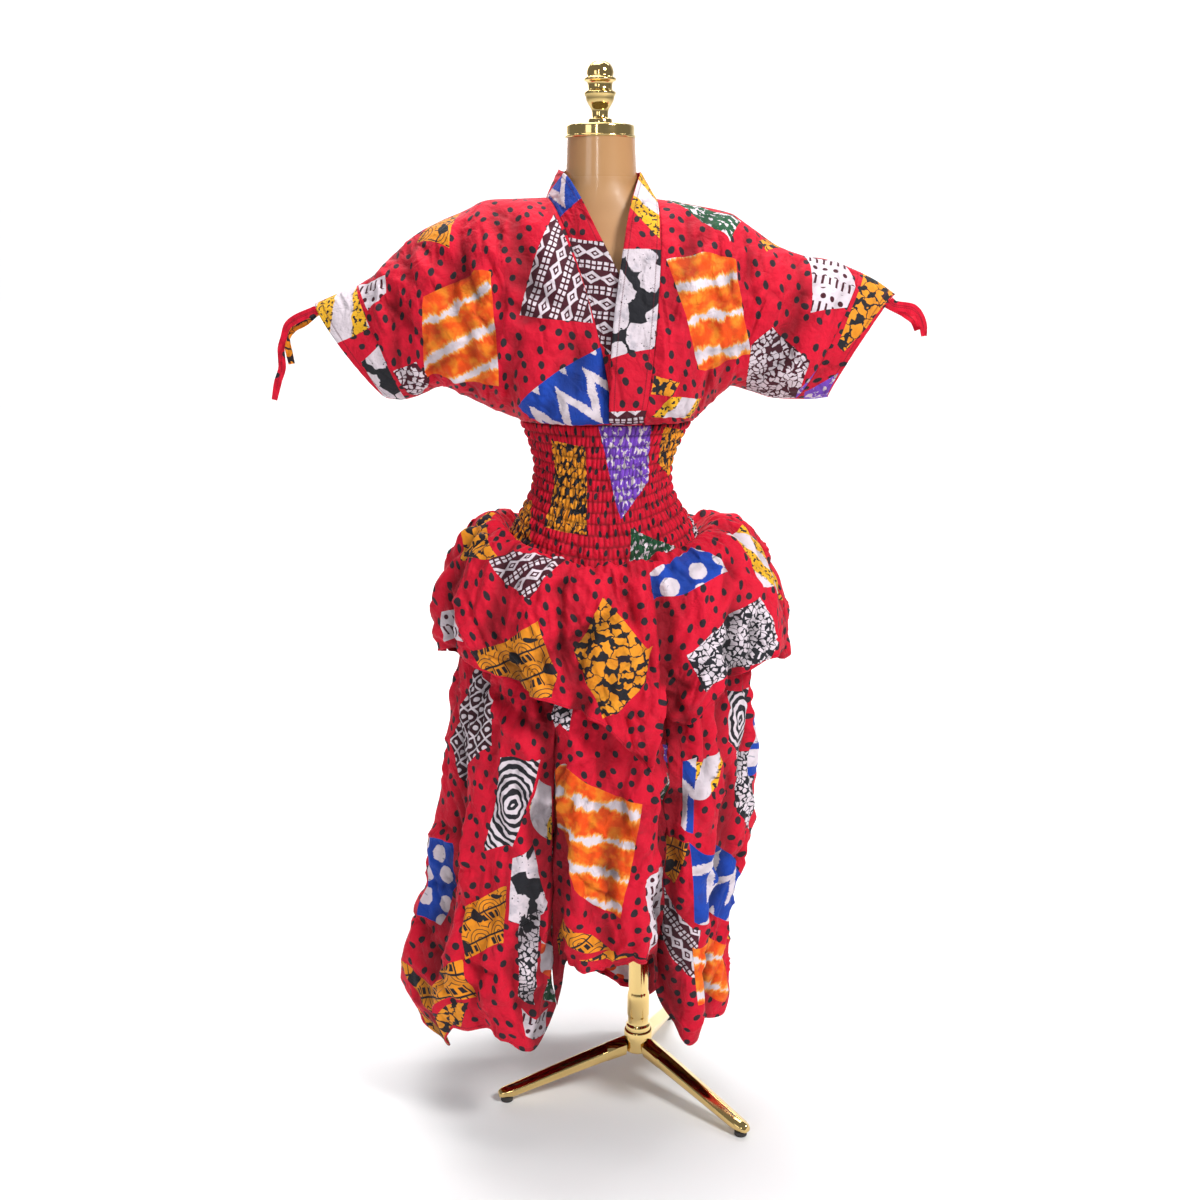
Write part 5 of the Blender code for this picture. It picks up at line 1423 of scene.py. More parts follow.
# Smocked waist
# Thirteen rows of elastic thread draw the cloth in to about half its width, so it puffs up in
# small uneven puckers between them.
SMOCK = [  # height above the hip seam as a share, centre x, half width, front depth, back depth
    (0.00, 0.0060, 0.1520, 0.1280, 0.1140),
    (0.08, 0.0060, 0.1450, 0.1215, 0.1100),
    (0.20, 0.0050, 0.1310, 0.1105, 0.1035),
    (0.34, 0.0035, 0.1170, 0.0985, 0.0960),
    (0.46, 0.0035, 0.1095, 0.0920, 0.0915),
    (0.58, 0.0045, 0.1080, 0.0895, 0.0900),
    (0.70, 0.0055, 0.1115, 0.0905, 0.0910),
    (0.86, 0.0075, 0.1225, 0.0945, 0.0945),
    (1.00, WAIST_CENTRE, 0.1345, 0.0975, 0.0975),
]
SMOCK_WALL = 0.0016
SMOCK_RELIEF = 0.0050
# Painted shade between the puckers: the relief that has none, and how far below it the shade is darkest.
SMOCK_SHADE = (0.0042, 0.0040)
SMOCK_ROWS = 13
SMOCK_PUCKERS = 104
SMOCK_GATHER = 1.9       # width of the flat cloth over the width it is drawn in to
SMOCK_CELLS = (580, 78)
HIP_CENTRE = 0.006
HIP_SEAM_FRONT = 0.948
HIP_SEAM_SIDE = 0.984
HIP_SEAM_BACK = 0.962


def hip_height(turn):
    """Height of the hip seam, lowest in front: turn is 0 in front and grows to the right."""
    middle = np.where(np.cos(turn) > 0.0, HIP_SEAM_FRONT, HIP_SEAM_BACK)
    return middle + (HIP_SEAM_SIDE - middle) * np.sin(turn) ** 2


def smock_points(turn, share):
    centre, half_width, front, back_depth = columns(SMOCK, share, 1, 2, 3, 4)
    low = hip_height(turn) + GAP
    depth = np.where(np.cos(turn) > 0.0, front, back_depth)
    height = low + (WAIST_HEIGHT - low) * share
    return np.stack([centre + half_width * np.sin(turn), -depth * np.cos(turn), height], axis=-1)


def smock_relief(turn, share, x, y):
    """Puckers that swell between the rows of thread, uneven from one to the next."""
    row = share * SMOCK_ROWS
    band = np.floor(np.clip(row, 0.0, SMOCK_ROWS - 0.001))
    swell = np.abs(np.sin(pi * row)) ** 0.45
    drift = 0.7 * np.sin(3.0 * turn + 0.6 * band) + 0.8 * np.sin(7.0 * turn - 0.9 * band)
    drift = drift + 0.5 * np.sin(2.3 * band)
    drift = drift + 0.45 * np.sin(23.0 * turn + 5.1 * band) + 0.5 * np.sin(13.0 * turn + 8.0 * share)
    pucker = np.abs(np.sin(SMOCK_PUCKERS * turn / 2 + drift)) ** 0.7
    big = 0.72 + 0.17 * np.sin(19.0 * turn + 4.1 * band) + 0.17 * np.sin(41.0 * turn + 2.7 * band)
    return SMOCK_RELIEF * (0.15 * pucker + 0.85 * swell * big * (0.12 + 0.88 * pucker))


def on_smock(points):
    turn = np.arctan2(points[:, 0] - HIP_CENTRE, -points[:, 1])
    points[:, 2] = np.clip(points[:, 2], hip_height(turn) + GAP, WAIST_HEIGHT)
    return points


SMOCK_SEEN = [  # print, corners in the photo
    ("crackle", [(553, 440), (587, 447), (587, 535), (545, 527)]),
    ("purple", [(600, 424), (652, 425), (650, 480), (622, 520)]),
    ("crackle", [(664, 426), (684, 430), (676, 456), (668, 476), (659, 464)]),
    ("green", [(632, 528), (680, 548), (660, 558), (628, 570)]),
    ("crackle", [(526, 503), (534, 501), (534, 552), (510, 548), (510, 530)]),
    ("pebbles", [(507, 509), (521, 503), (513, 520), (503, 528)]),
    ("pebbles", [(690, 506), (702, 512), (708, 534), (694, 540)]),
]
SMOCK_HIDDEN = [  # print, turn, share, width, length, tilt
    ("maroon_pebbles", 2.2, 0.55, 0.050, 0.090, 4.0),
    ("zigzag", -2.3, 0.60, 0.055, 0.070, -10.0),
    ("crackle", -1.75, 0.45, 0.040, 0.080, 6.0),
    ("green", 1.7, 0.70, 0.040, 0.050, 12.0),
    ("tie_dye", 2.85, 0.35, 0.060, 0.080, 0.0),
]
smock = Panel(smock_points, (-pi, pi), (0.0, 1.0), (0, -1, 0), SMOCK_GATHER)
smock_piece = sew("smocked_waist_cloth", "smocked_waist", smock, SMOCK_CELLS, SMOCK_SEEN,
                  SMOCK_HIDDEN, smock_relief, on_smock, wall=SMOCK_WALL, closed=True, shade=SMOCK_SHADE)

# Overskirt
# A short full skirt in two halves, gathered into the hip seam over the long one. It stands out
# in a pouf and falls in uneven folds to a pointed handkerchief hem.
OVERSKIRT_LIFT = 0.003
OVERSKIRT = [  # share of the cloth, reach front, right, back, left, then rise front, right, back, left
    (0.00, 0.1286, 0.1526, 0.1146, 0.1526, 1.000, 1.000, 1.000, 1.000),
    (0.10, 0.152, 0.186, 0.143, 0.180, 1.045, 1.120, 1.060, 1.130),
    (0.22, 0.176, 0.226, 0.172, 0.212, 0.960, 1.075, 1.010, 1.080),
    (0.38, 0.196, 0.262, 0.199, 0.244, 0.760, 0.850, 0.800, 0.820),
    (0.55, 0.206, 0.288, 0.216, 0.264, 0.530, 0.590, 0.560, 0.540),
    (0.75, 0.211, 0.300, 0.226, 0.270, 0.280, 0.320, 0.300, 0.270),
    (1.00, 0.213, 0.302, 0.231, 0.262, 0.000, 0.000, 0.000, 0.000),
]
OVERSKIRT_HEM = [  # turn in degrees from the front, height
    (-180.0, 0.680), (-155.0, 0.735), (-130.0, 0.800), (-105.0, 0.770), (-88.0, 0.790),
    (-66.0, 0.815), (-46.0, 0.792), (-24.0, 0.765), (-12.0, 0.743), (-2.0, 0.732),
    (9.0, 0.690), (17.5, 0.655), (25.0, 0.738), (32.0, 0.722), (40.0, 0.762),
    (54.0, 0.792), (72.0, 0.815), (90.0, 0.775), (108.0, 0.800), (132.0, 0.760),
    (156.0, 0.705), (180.0, 0.680),
]
OVERSKIRT_FOLDS = [  # middle in degrees, height, width in degrees, start, drift down the cloth
    (-166.0, -0.018, 7.0, 0.15, -3.0), (-149.0, 0.014, 8.0, 0.20, 2.0),
    (-133.0, -0.020, 7.0, 0.10, 3.0), (-117.0, 0.016, 8.0, 0.15, -2.0),
    (-99.0, -0.018, 7.0, 0.20, 2.0), (-84.0, 0.012, 7.0, 0.10, 3.0),
    (-70.0, -0.020, 6.0, 0.15, -2.0), (-57.0, 0.014, 7.0, 0.10, 2.0),
    (-42.0, -0.020, 6.0, 0.20, 3.0), (-27.0, 0.014, 8.0, 0.10, 0.0),
    (-11.0, -0.016, 6.0, 0.25, -2.0), (3.0, 0.010, 7.0, 0.10, 1.0),
    (16.0, 0.017, 5.5, 0.15, 2.0), (25.5, -0.026, 5.0, 0.10, 1.0),
    (38.0, 0.016, 7.0, 0.15, 2.0), (52.0, -0.013, 6.5, 0.20, -2.0),
    (66.0, 0.011, 8.0, 0.15, 2.0), (82.0, -0.014, 7.0, 0.20, 0.0),
    (98.0, 0.012, 7.5, 0.20, -2.0), (114.0, -0.018, 7.0, 0.15, 2.0),
    (131.0, 0.015, 8.0, 0.20, 0.0), (147.0, -0.018, 7.0, 0.15, -2.0),
    (163.0, 0.014, 8.0, 0.15, 2.0),
]


def wrapped(angle):
    """An angle in degrees brought between -180 and 180."""
    return (angle + 180.0) % 360.0 - 180.0


def circular(folds, angle, share):
    """Sum of the folds at an angle in degrees, each a smooth ridge or valley round its middle."""
    total = 0.0
    for middle, height, width, start, drift in folds:
        away = wrapped(angle - middle - drift * share)
        growth = np.clip((share - start) / (1.0 - start), 0.0, 1.0) ** 0.8
        total = total + height * growth * np.exp(-((away / width) ** 2))
    return total


def blend_sides(front, right, rear, left, turn):
    """Four values at the front, right, back and left, blended round the dress."""
    side = np.where(np.sin(turn) > 0.0, right, left)
    middle = np.where(np.cos(turn) > 0.0, front, rear)
    return middle + (side - middle) * np.sin(turn) ** 2


# Painted shade in the skirts' colour: the relief that has none, how far below it the shade is darkest, and
# the share of a fold's own height that is counted in it.
SKIRT_SHADE = (0.009, 0.022)
SHADED_SHARE = 0.7       # of a fold's height, as counted for its shade


# The height of a skirt's own folds, as counted in its painted shade.
def fold_shade_depth(folds):
    def depth(angle, share):
        return SHADED_SHARE * circular(folds, wrapped(angle), share)
    return depth


def round_hips(reach, turn, height):
    """Points at a reach from the hips' axis."""
    return np.stack([HIP_CENTRE + reach * np.sin(turn), -reach * np.cos(turn), height], axis=-1)


def overskirt_points(angle, share):
    turn = np.radians(angle)
    reach = blend_sides(*columns(OVERSKIRT, share, 1, 2, 3, 4), turn)
    rise = blend_sides(*columns(OVERSKIRT, share, 5, 6, 7, 8), turn)
    reach = reach + circular(OVERSKIRT_FOLDS, wrapped(angle), share)
    hem = column(OVERSKIRT_HEM, wrapped(angle), 1)
    seam = hip_height(turn) + OVERSKIRT_LIFT
    return round_hips(reach, turn, hem + (seam - hem) * rise)


SKIRT_ROUND = 0.24       # mean radius on which the crushed cloth is laid out
SHORT_CREASES = 250      # on each square metre
LAID_FROM = -0.40        # in metres round the dress
LAID_TO = 1.42
GATHER_HEIGHT = 0.0036
GATHER_FADE = 0.085      # how far down the gathers fade
SEAM_SHARE = 0.10        # of the length, over which the cloth is freed from the seam


def short_creases(seed, length):
    """Small sharp creases left by folding and sitting, scattered down the cloth."""
    chance = np.random.default_rng(seed)
    rows = []
    for _ in range(int(SHORT_CREASES * (LAID_TO - LAID_FROM) * length)):
        x, y = chance.uniform(LAID_FROM, LAID_TO), chance.uniform(0.03, 1.0) * length
        lean, reach = chance.normal(0.0, 0.55), chance.uniform(0.04, 0.15)
        rows.append((x, y, x + reach * sin(lean), y + reach * cos(lean), chance.uniform(0.0030, 0.0062),
                     chance.choice([-1.0, 1.0]) * chance.uniform(0.0025, 0.0068)))
    return rows


def skirt_relief(seed, gathers, length, layers):
    """Gathers that spread from the hip seam, and crushed cloth that is flat only at the seam."""
    rows = short_creases(seed, length)

    def relief(angle, share, x, y):
        turn = np.radians(angle)
        own_x, own_y = turn * SKIRT_ROUND, share * length
        freed = np.clip(share / SEAM_SHARE, 0.0, 1.0)
        fading = np.exp(-share * length / GATHER_FADE)
        drift = 1.2 * np.sin(5.0 * turn) + 0.8 * np.sin(11.0 * turn + 2.0)
        fine = GATHER_HEIGHT * fading * (np.abs(np.sin(gathers * turn / 2 + drift)) - 0.5)
        crushed = crumple(own_x, own_y, seed, layers) + creases(own_x, own_y, rows)
        return freed * (fine + crushed)
    return relief


def to_hem(length):
    """How far the cloth of a skirt's length runs on to its hem."""
    def distance(angle, share):
        return (1.0 - share) * length
    return distance


OVERSKIRT_PATCHES = {  # piece: degrees, outward, seen patches, hidden patches
    "overskirt_front": ((-90.0, 90.0), (0, -1, 0), [
        ("crackle", [(462, 560), (468, 532), (500, 508), (502, 560)]),
        ("diamonds", [(491, 560), (512, 550), (568, 561), (548, 578), (531, 600), (506, 584)]),
        ("big_dots", [(650, 573), (692, 546), (731, 570), (655, 601)]),
        ("specks", [(727, 535), (745, 526), (786, 600), (764, 588)]),
        ("arcs", [(469, 652), (540, 621), (557, 672), (554, 698), (531, 698), (481, 669)]),
        ("crackle", [(605, 597), (655, 645), (605, 718), (575, 650)]),
        ("pebbles", [(687, 654), (761, 597), (778, 643), (773, 661), (708, 691)]),
        ("stripes", [(441, 612), (460, 612), (463, 642), (444, 642)])], []),
    "overskirt_back": ((90.0, 270.0), (0, 1, 0), [], [
        ("petals", 112.0, 0.50, 0.110, 0.090, 20.0), ("big_dots", 140.0, 0.30, 0.085, 0.100, -12.0),
        ("arcs", 163.0, 0.62, 0.090, 0.100, 30.0), ("pebbles", 190.0, 0.34, 0.100, 0.085, -18.0),
        ("zigzag", 214.0, 0.66, 0.080, 0.110, 8.0), ("crackle", 236.0, 0.35, 0.095, 0.095, 40.0),
        ("diamonds", 256.0, 0.70, 0.080, 0.075, -10.0), ("green", 180.0, 0.84, 0.070, 0.060, 12.0)]),
}
OVERSKIRT_CELLS = (230, 92)
OVERSKIRT_LENGTH = 0.36
OVERSKIRT_GATHERS = 84
OVERSKIRT_LAYERS = [(0.110, 0.0095, 4, 0.45), (0.048, 0.0066, 5, 0.60), (0.024, 0.0020, 6, 1.1)]
SEAM_DEGREES = 0.057     # from the middle of a seam to the panel
OVERSKIRT_CREASES = {  # piece: creases seen in the photo, creases on the hidden side
    "overskirt_front": ([  # from and to in the photo, width, height
        (563, 574, 568, 690, 0.008, -0.012), (553, 574, 545, 640, 0.009, 0.007),
        (580, 574, 600, 604, 0.006, 0.005), (572, 580, 588, 640, 0.006, -0.005),
        (653, 582, 657, 690, 0.008, -0.008), (640, 574, 646, 640, 0.007, 0.006),
        (713, 572, 674, 642, 0.008, 0.007), (704, 590, 668, 668, 0.008, -0.006),
        (742, 574, 704, 640, 0.007, 0.005), (470, 600, 487, 655, 0.007, -0.008),
        (462, 596, 478, 660, 0.007, 0.007), (489, 600, 496, 640, 0.006, -0.005),
        (448, 584, 470, 606, 0.007, 0.006), (452, 600, 462, 650, 0.006, -0.007),
        (520, 600, 500, 650, 0.007, 0.005), (601, 738, 655, 770, 0.008, -0.010),
        (590, 716, 640, 752, 0.008, 0.008), (660, 690, 668, 752, 0.007, 0.009),
        (672, 700, 690, 740, 0.007, -0.009), (700, 700, 724, 660, 0.007, 0.006),
        (736, 690, 762, 640, 0.007, -0.006), (764, 600, 772, 668, 0.006, 0.006),
        (540, 650, 556, 696, 0.006, -0.006), (610, 646, 622, 716, 0.006, 0.004),
        (628, 584, 634, 630, 0.006, -0.005), (600, 576, 612, 600, 0.005, -0.004),
        (668, 574, 676, 606, 0.006, -0.005), (520, 572, 512, 600, 0.006, -0.005),
        (500, 560, 486, 590, 0.006, 0.005), (724, 556, 746, 590, 0.006, -0.006)], []),
    "overskirt_back": ([], [  # from angle and share to angle and share, width, height
        (96.0, 0.05, 104.0, 0.70, 0.008, -0.008), (112.0, 0.04, 108.0, 0.55, 0.008, 0.007),
        (126.0, 0.05, 134.0, 0.80, 0.008, -0.010), (140.0, 0.04, 132.0, 0.40, 0.007, 0.006),
        (152.0, 0.05, 158.0, 0.75, 0.008, -0.010), (166.0, 0.05, 160.0, 0.50, 0.007, 0.007),
        (178.0, 0.05, 184.0, 0.85, 0.009, -0.010), (192.0, 0.05, 186.0, 0.45, 0.007, 0.007),
        (204.0, 0.04, 210.0, 0.80, 0.008, -0.010), (218.0, 0.05, 212.0, 0.50, 0.007, 0.007),
        (232.0, 0.05, 238.0, 0.75, 0.008, -0.009), (248.0, 0.05, 242.0, 0.55, 0.007, 0.007),
        (262.0, 0.05, 256.0, 0.70, 0.008, -0.008), (146.0, 0.55, 170.0, 0.90, 0.008, 0.008),
        (200.0, 0.60, 180.0, 0.92, 0.008, -0.008), (224.0, 0.55, 246.0, 0.90, 0.008, 0.007)]),
}

for name, (across, outward, seen, hidden) in OVERSKIRT_PATCHES.items():
    degrees = (across[0] + SEAM_DEGREES, across[1] - SEAM_DEGREES)
    panel = Panel(overskirt_points, degrees, (0.0, 1.0), outward)
    relief = skirt_relief(21, OVERSKIRT_GATHERS, OVERSKIRT_LENGTH, OVERSKIRT_LAYERS)
    seen_folds, hidden_folds = OVERSKIRT_CREASES[name]
    piece = sew(name + "_cloth", name, panel, OVERSKIRT_CELLS, seen, hidden, relief,
                edge=to_hem(OVERSKIRT_LENGTH), seen_folds=seen_folds, hidden_folds=hidden_folds,
                shade=SKIRT_SHADE, depth=fold_shade_depth(OVERSKIRT_FOLDS))

# Long skirt
# Four panels gathered into the hip seam under the overskirt: a short one in front and longer
# ones at the sides and back, which end in the handkerchief's points.
LOWER_SKIRT = [  # share of the way down, reach front, right, back, left
    (0.00, 0.128, 0.152, 0.114, 0.152),
    (0.06, 0.144, 0.186, 0.134, 0.186),
    (0.15, 0.158, 0.212, 0.158, 0.214),
    (0.28, 0.174, 0.230, 0.178, 0.242),
    (0.40, 0.188, 0.240, 0.192, 0.256),
    (0.52, 0.198, 0.240, 0.204, 0.265),
    (0.64, 0.206, 0.236, 0.214, 0.286),
    (0.72, 0.208, 0.218, 0.218, 0.292),
    (0.82, 0.210, 0.206, 0.214, 0.320),
    (0.92, 0.206, 0.202, 0.206, 0.338),
    (1.00, 0.196, 0.194, 0.194, 0.318),
]
LOWER_HEM = [  # turn in degrees from the front, height
    (-180.0, 0.105), (-160.0, 0.150), (-138.0, 0.110), (-118.0, 0.165), (-98.0, 0.150),
    (-82.0, 0.175), (-68.0, 0.130), (-54.0, 0.195), (-42.0, 0.200), (-31.0, 0.165),
    (-24.0, 0.245), (-18.0, 0.322), (-6.0, 0.312), (6.0, 0.314), (18.0, 0.330),
    (26.0, 0.325), (34.0, 0.235), (44.0, 0.150), (56.0, 0.180), (72.0, 0.155),
    (90.0, 0.175), (112.0, 0.150), (134.0, 0.150), (152.0, 0.085), (168.0, 0.080),
    (180.0, 0.105),
]
LOWER_FOLDS = [  # middle in degrees, height, width in degrees, start, drift down the cloth
    (-172.0, 0.018, 7.0, 0.05, 2.0), (-157.0, -0.024, 7.0, 0.10, -2.0),
    (-141.0, 0.022, 7.5, 0.05, 2.0), (-125.0, -0.026, 7.0, 0.10, 0.0),
    (-109.0, 0.020, 7.0, 0.05, -2.0), (-95.0, -0.024, 6.0, 0.10, 2.0),
    (-82.0, 0.018, 6.0, 0.10, -2.0), (-69.0, -0.020, 6.0, 0.05, 2.0),
    (-55.0, 0.020, 7.0, 0.05, -2.0), (-40.0, 0.014, 7.0, 0.10, 2.0),
    (-25.0, -0.040, 6.5, 0.02, 1.0), (-10.0, 0.014, 7.0, 0.10, 0.0),
    (4.0, -0.010, 6.0, 0.20, 1.0), (17.0, 0.014, 7.0, 0.05, -1.0),
    (32.0, -0.038, 6.5, 0.02, 1.0), (46.0, 0.018, 7.0, 0.10, 2.0),
    (61.0, -0.020, 6.5, 0.10, -2.0), (76.0, 0.018, 7.0, 0.05, 2.0),
    (92.0, -0.022, 6.5, 0.10, 0.0), (107.0, 0.018, 7.0, 0.05, -2.0),
    (123.0, -0.024, 7.0, 0.10, 2.0), (140.0, 0.020, 7.5, 0.05, 2.0),
    (157.0, -0.024, 7.0, 0.10, -2.0), (173.0, 0.012, 6.0, 0.10, 0.0),
]


def lower_points(angle, share):
    turn = np.radians(angle)
    reach = blend_sides(*columns(LOWER_SKIRT, share, 1, 2, 3, 4), turn)
    reach = reach + circular(LOWER_FOLDS, wrapped(angle), share)
    hem = column(LOWER_HEM, wrapped(angle), 1)
    seam = hip_height(turn)
    return round_hips(reach, turn, seam + (hem - seam) * share)


LOWER_LENGTH = 0.80
LOWER_GATHERS = 70
LOWER_LAYERS = [(0.110, 0.0110, 4, 0.30), (0.048, 0.0078, 5, 0.45), (0.025, 0.0022, 6, 1.1)]
LOWER_CELLS_DOWN = 160
LOWER_PANELS = {  # piece: degrees, cells across, flat width and length, area, seen patches, hidden patches
    "skirt_front": ((-25.0, 32.0), 62, (0.36, 0.62), 0.15, [
        ("pebbles", [(545, 702), (574, 706), (572, 732), (548, 728)]),
        ("tie_dye", [(555, 778), (643, 803), (623, 918), (596, 906), (576, 890), (552, 817)]),
        ("purple", [(664, 744), (682, 746), (680, 762), (665, 760)]),
        ("green", [(664, 772), (688, 776), (680, 800), (662, 796)]),
        ("stripes", [(648, 880), (662, 868), (664, 948), (650, 954)]),
        ("arcs", [(558, 940), (592, 934), (612, 950), (560, 957)]),
        ("crackle", [(556, 956), (612, 951), (660, 953), (662, 984), (556, 984)])], []),
    "skirt_right": ((32.0, 123.0), 98, (0.62, 0.84), 0.34, [
        ("rings", [(729, 690), (747, 688), (744, 757), (728, 742)]),
        ("specks", [(692, 760), (720, 752), (716, 786), (694, 802)]),
        ("pebbles", [(737, 752), (759, 752), (757, 832), (738, 812)]),
        ("zigzag", [(683, 762), (697, 756), (694, 832), (682, 826)]),
        ("zigzag", [(690, 840), (734, 856), (716, 912), (695, 922)]),
        ("arcs", [(668, 836), (690, 840), (676, 882), (664, 872)]),
        ("diamonds", [(660, 884), (702, 930), (700, 976), (650, 928)]),
        ("tie_dye", [(694, 948), (727, 944), (724, 1000), (697, 1002)])], [
        ("big_dots", 88.0, 0.42, 0.080, 0.110, 10.0), ("petals", 108.0, 0.62, 0.090, 0.100, -14.0),
        ("crackle", 84.0, 0.80, 0.085, 0.085, 32.0), ("lattice", 112.0, 0.34, 0.080, 0.090, 6.0)]),
    "skirt_back": ((123.0, 235.0), 118, (0.74, 0.84), 0.42, [], [
        ("tie_dye", 136.0, 0.50, 0.095, 0.150, -6.0), ("zigzag", 150.0, 0.74, 0.090, 0.100, 14.0),
        ("rings", 168.0, 0.52, 0.080, 0.120, 5.0), ("arcs", 184.0, 0.80, 0.100, 0.090, -22.0),
        ("big_dots", 196.0, 0.56, 0.080, 0.100, 12.0), ("diamonds", 214.0, 0.72, 0.085, 0.105, 24.0),
        ("pebbles", 222.0, 0.46, 0.080, 0.090, -10.0), ("petals", 140.0, 0.90, 0.080, 0.080, 8.0),
        ("spots", 172.0, 0.95, 0.150, 0.060, 0.0), ("green", 206.0, 0.93, 0.080, 0.060, 10.0)]),
    "skirt_left": ((235.0, 335.0), 106, (0.72, 0.84), 0.40, [
        ("lattice", [(480, 662), (494, 700), (491, 746), (465, 781), (451, 744)]),
        ("rings", [(503, 756), (544, 759), (530, 802), (516, 846), (486, 849)]),
        ("zigzag", [(430, 770), (446, 772), (444, 834), (430, 826)]),
        ("big_dots", [(430, 838), (456, 842), (456, 884), (440, 926), (420, 915)]),
        ("petals", [(512, 860), (536, 846), (546, 900), (528, 926), (510, 918)]),
        ("arcs", [(464, 908), (506, 888), (503, 944), (466, 962)]),
        ("arcs", [(424, 962), (462, 962), (478, 1004), (438, 1012)]),
        ("pebbles", [(521, 912), (541, 910), (536, 1004), (521, 1000)]),
        ("crackle", [(418, 1004), (470, 1002), (462, 1026), (426, 1030)]),
        ("spots", [(540, 938), (561, 944), (560, 976), (541, 972)]),
        ("green", [(545, 976), (564, 974), (560, 1002), (546, 1000)]),
        ("specks", [(541, 780), (551, 786), (552, 840), (533, 822), (531, 808)]),
        ("stripes", [(524, 1010), (551, 1008), (549, 1034), (526, 1036)])], [
        ("tie_dye", 262.0, 0.46, 0.080, 0.120, 8.0), ("pebbles", 246.0, 0.66, 0.085, 0.090, -16.0),
        ("zigzag", 258.0, 0.84, 0.085, 0.080, 20.0)]),
}

LOWER_CREASES = {  # as on the overskirt
    "skirt_front": ([  # from and to in the photo, width, height
        (576, 724, 560, 800, 0.009, 0.008), (600, 760, 590, 830, 0.008, -0.007),
        (621, 790, 637, 873, 0.008, -0.008), (632, 770, 650, 860, 0.008, 0.007),
        (566, 830, 582, 930, 0.008, -0.007), (600, 900, 620, 962, 0.008, 0.008),
        (640, 880, 634, 960, 0.008, -0.008), (652, 780, 656, 900, 0.007, 0.007),
        (580, 880, 572, 950, 0.007, 0.007), (576, 800, 612, 812, 0.006, -0.005),
        (590, 860, 636, 880, 0.006, -0.005)], []),
    "skirt_right": ([
        (721, 800, 705, 892, 0.009, -0.010), (734, 770, 724, 860, 0.008, 0.008),
        (747, 834, 720, 924, 0.008, -0.008), (690, 800, 684, 900, 0.008, 0.008),
        (704, 720, 698, 800, 0.008, -0.008), (716, 900, 700, 1000, 0.008, 0.008),
        (690, 930, 684, 1020, 0.008, -0.009), (728, 930, 712, 1006, 0.007, -0.008),
        (740, 700, 742, 760, 0.007, 0.006), (700, 950, 726, 960, 0.006, -0.006),
        (690, 860, 720, 872, 0.006, -0.006)], [
        (78.0, 0.10, 82.0, 0.90, 0.009, -0.010), (88.0, 0.06, 84.0, 0.60, 0.008, 0.008),
        (98.0, 0.15, 102.0, 0.95, 0.009, -0.010), (110.0, 0.06, 106.0, 0.70, 0.008, 0.008),
        (116.0, 0.30, 112.0, 0.95, 0.008, -0.009), (84.0, 0.66, 104.0, 0.74, 0.007, -0.007)]),
    "skirt_back": ([], [
        (128.0, 0.10, 134.0, 0.90, 0.009, -0.010), (140.0, 0.06, 136.0, 0.60, 0.008, 0.008),
        (148.0, 0.15, 152.0, 0.95, 0.009, -0.011), (160.0, 0.06, 156.0, 0.70, 0.008, 0.009),
        (170.0, 0.10, 174.0, 0.95, 0.009, -0.011), (182.0, 0.06, 178.0, 0.65, 0.008, 0.009),
        (192.0, 0.12, 196.0, 0.95, 0.009, -0.011), (204.0, 0.06, 200.0, 0.70, 0.008, 0.009),
        (214.0, 0.10, 218.0, 0.90, 0.009, -0.010), (226.0, 0.06, 222.0, 0.60, 0.008, 0.008),
        (132.0, 0.62, 150.0, 0.70, 0.007, -0.007), (172.0, 0.72, 192.0, 0.66, 0.007, -0.007),
        (206.0, 0.78, 224.0, 0.86, 0.007, -0.007), (150.0, 0.84, 168.0, 0.90, 0.007, 0.006)]),
    "skirt_left": ([
        (492, 690, 548, 742, 0.010, -0.012), (484, 700, 530, 756, 0.009, 0.009),
        (548, 762, 536, 850, 0.010, -0.012), (456, 816, 463, 922, 0.008, -0.009),
        (470, 800, 476, 900, 0.008, 0.008), (494, 850, 486, 950, 0.008, -0.009),
        (508, 860, 502, 940, 0.007, 0.007), (420, 930, 452, 1000, 0.009, -0.010),
        (412, 960, 440, 1010, 0.008, 0.008), (484, 940, 476, 1014, 0.008, -0.010),
        (500, 950, 506, 1030, 0.008, 0.009), (520, 930, 526, 1030, 0.008, -0.010),
        (440, 700, 448, 790, 0.008, -0.007), (462, 690, 470, 760, 0.007, 0.006),
        (450, 880, 480, 872, 0.006, -0.007), (430, 820, 456, 832, 0.006, -0.007),
        (500, 780, 540, 800, 0.006, -0.006), (458, 960, 500, 978, 0.007, -0.009),
        (440, 980, 470, 1000, 0.006, 0.007), (536, 880, 548, 960, 0.007, 0.008)], [
        (244.0, 0.10, 248.0, 0.90, 0.009, -0.010), (256.0, 0.06, 252.0, 0.60, 0.008, 0.008),
        (264.0, 0.15, 268.0, 0.95, 0.009, -0.011), (250.0, 0.66, 268.0, 0.72, 0.007, -0.007)]),
}

for name, (across, cells_across, flat, area, seen, hidden) in LOWER_PANELS.items():
    middle = radians((across[0] + across[1]) / 2)
    degrees = (across[0] + SEAM_DEGREES, across[1] - SEAM_DEGREES)
    panel = Panel(lower_points, degrees, (0.0, 1.0), (sin(middle), -cos(middle), 0.0))
    relief = skirt_relief(31, LOWER_GATHERS, LOWER_LENGTH, LOWER_LAYERS)
    seen_folds, hidden_folds = LOWER_CREASES[name]
    piece = sew(name + "_cloth", name, panel, (cells_across, LOWER_CELLS_DOWN), seen, hidden, relief,
                edge=to_hem(LOWER_LENGTH), seen_folds=seen_folds, hidden_folds=hidden_folds,
                shade=SKIRT_SHADE, depth=fold_shade_depth(LOWER_FOLDS))

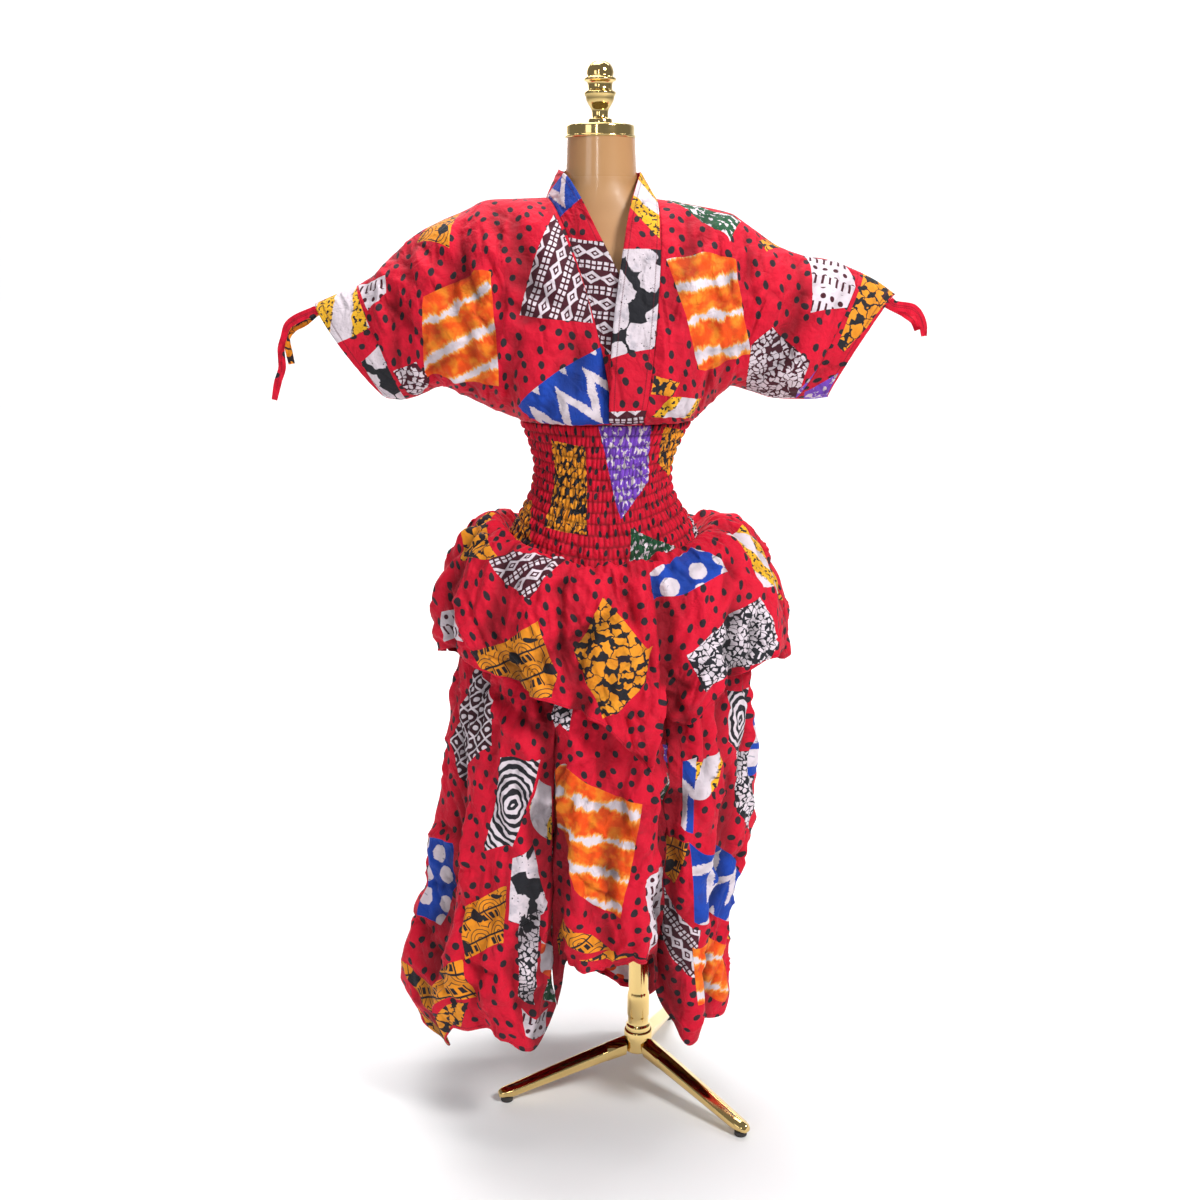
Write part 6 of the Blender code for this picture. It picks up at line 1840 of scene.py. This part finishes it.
# Studio
# A plain pale floor that runs up into a backdrop, lit by soft boxes from the front and above.
FLOOR_FRONT = -7.0
FLOOR_BACK = 5.0
BACKDROP_HEIGHT = 7.0
HALF_FLOOR = 9.0
CURVE = 2.0
CURVE_STEPS = 24
SKY = (0.92, 0.95, 1.0, 1.0)
SKY_STRENGTH = 0.24

paper = Finish("pale paper", Roughness=0.9)
cloudy = paper.noise(paper.point(), 3.0)
paper.join("Base Color", paper.mix(cloudy, (0.86, 0.86, 0.86), (0.90, 0.90, 0.90)))
bm = bmesh.new()
side_line = [bm.verts.new((-HALF_FLOOR, y, z))
             for y, z in ((FLOOR_FRONT, 0.0), (FLOOR_BACK, 0.0), (FLOOR_BACK, BACKDROP_HEIGHT))]
line = [bm.edges.new(pair) for pair in zip(side_line, side_line[1:])]
swept = bmesh.ops.extrude_edge_only(bm, edges=line)["geom"]
bmesh.ops.translate(bm, verts=[item for item in swept if isinstance(item, bmesh.types.BMVert)],
                    vec=(2 * HALF_FLOOR, 0.0, 0.0))
corner = [edge for edge in bm.edges
          if all(vert.co.y == FLOOR_BACK and vert.co.z == 0.0 for vert in edge.verts)]
bmesh.ops.bevel(bm, geom=corner, offset=CURVE, offset_type="OFFSET", affect="EDGES",
                segments=CURVE_STEPS, profile=0.5, material=-1)
mesh = bpy.data.meshes.new("floor")
bm.to_mesh(mesh)
bm.free()
mesh.materials.append(paper.material)
mesh.shade_smooth()
floor = bpy.data.objects.new("floor", mesh)
bpy.context.scene.collection.objects.link(floor)

world = bpy.data.worlds.new("studio")
bpy.context.scene.world = world
world.use_nodes = True
background = world.node_tree.nodes["Background"]
background.inputs["Color"].default_value = SKY
background.inputs["Strength"].default_value = SKY_STRENGTH

LIGHTS = [  # name, place, aimed at, width, height, power
    ("key", (2.0, -2.1, 3.3), (0.0, 0.0, 0.95), 0.9, 0.9, 110.0),
    ("fill", (-2.4, -3.0, 1.9), (0.0, 0.0, 0.85), 1.2, 1.6, 12.0),
    ("strip", (-0.55, -2.9, 2.1), (0.0, 0.0, 1.4), 0.12, 1.5, 9.0),
    ("top", (-0.4, 0.3, 3.9), (0.0, 0.0, 0.5), 1.6, 1.6, 50.0),
    ("behind", (-1.4, 3.2, 2.6), (0.0, 0.0, 1.0), 1.8, 1.8, 40.0),
    ("paper", (0.0, 1.6, 4.5), (0.0, 4.6, 1.2), 5.0, 1.0, 220.0),
]
for name, place, target, width, height, power in LIGHTS:
    light = bpy.data.lights.new(name, "AREA")
    light.shape = "RECTANGLE"
    light.size = width
    light.size_y = height
    light.energy = power
    lamp = bpy.data.objects.new(name, light)
    lamp.location = place
    lamp.rotation_euler = (Vector(target) - Vector(place)).to_track_quat("-Z", "Y").to_euler()
    bpy.context.scene.collection.objects.link(lamp)

bpy.context.scene.view_settings.view_transform = "Standard"
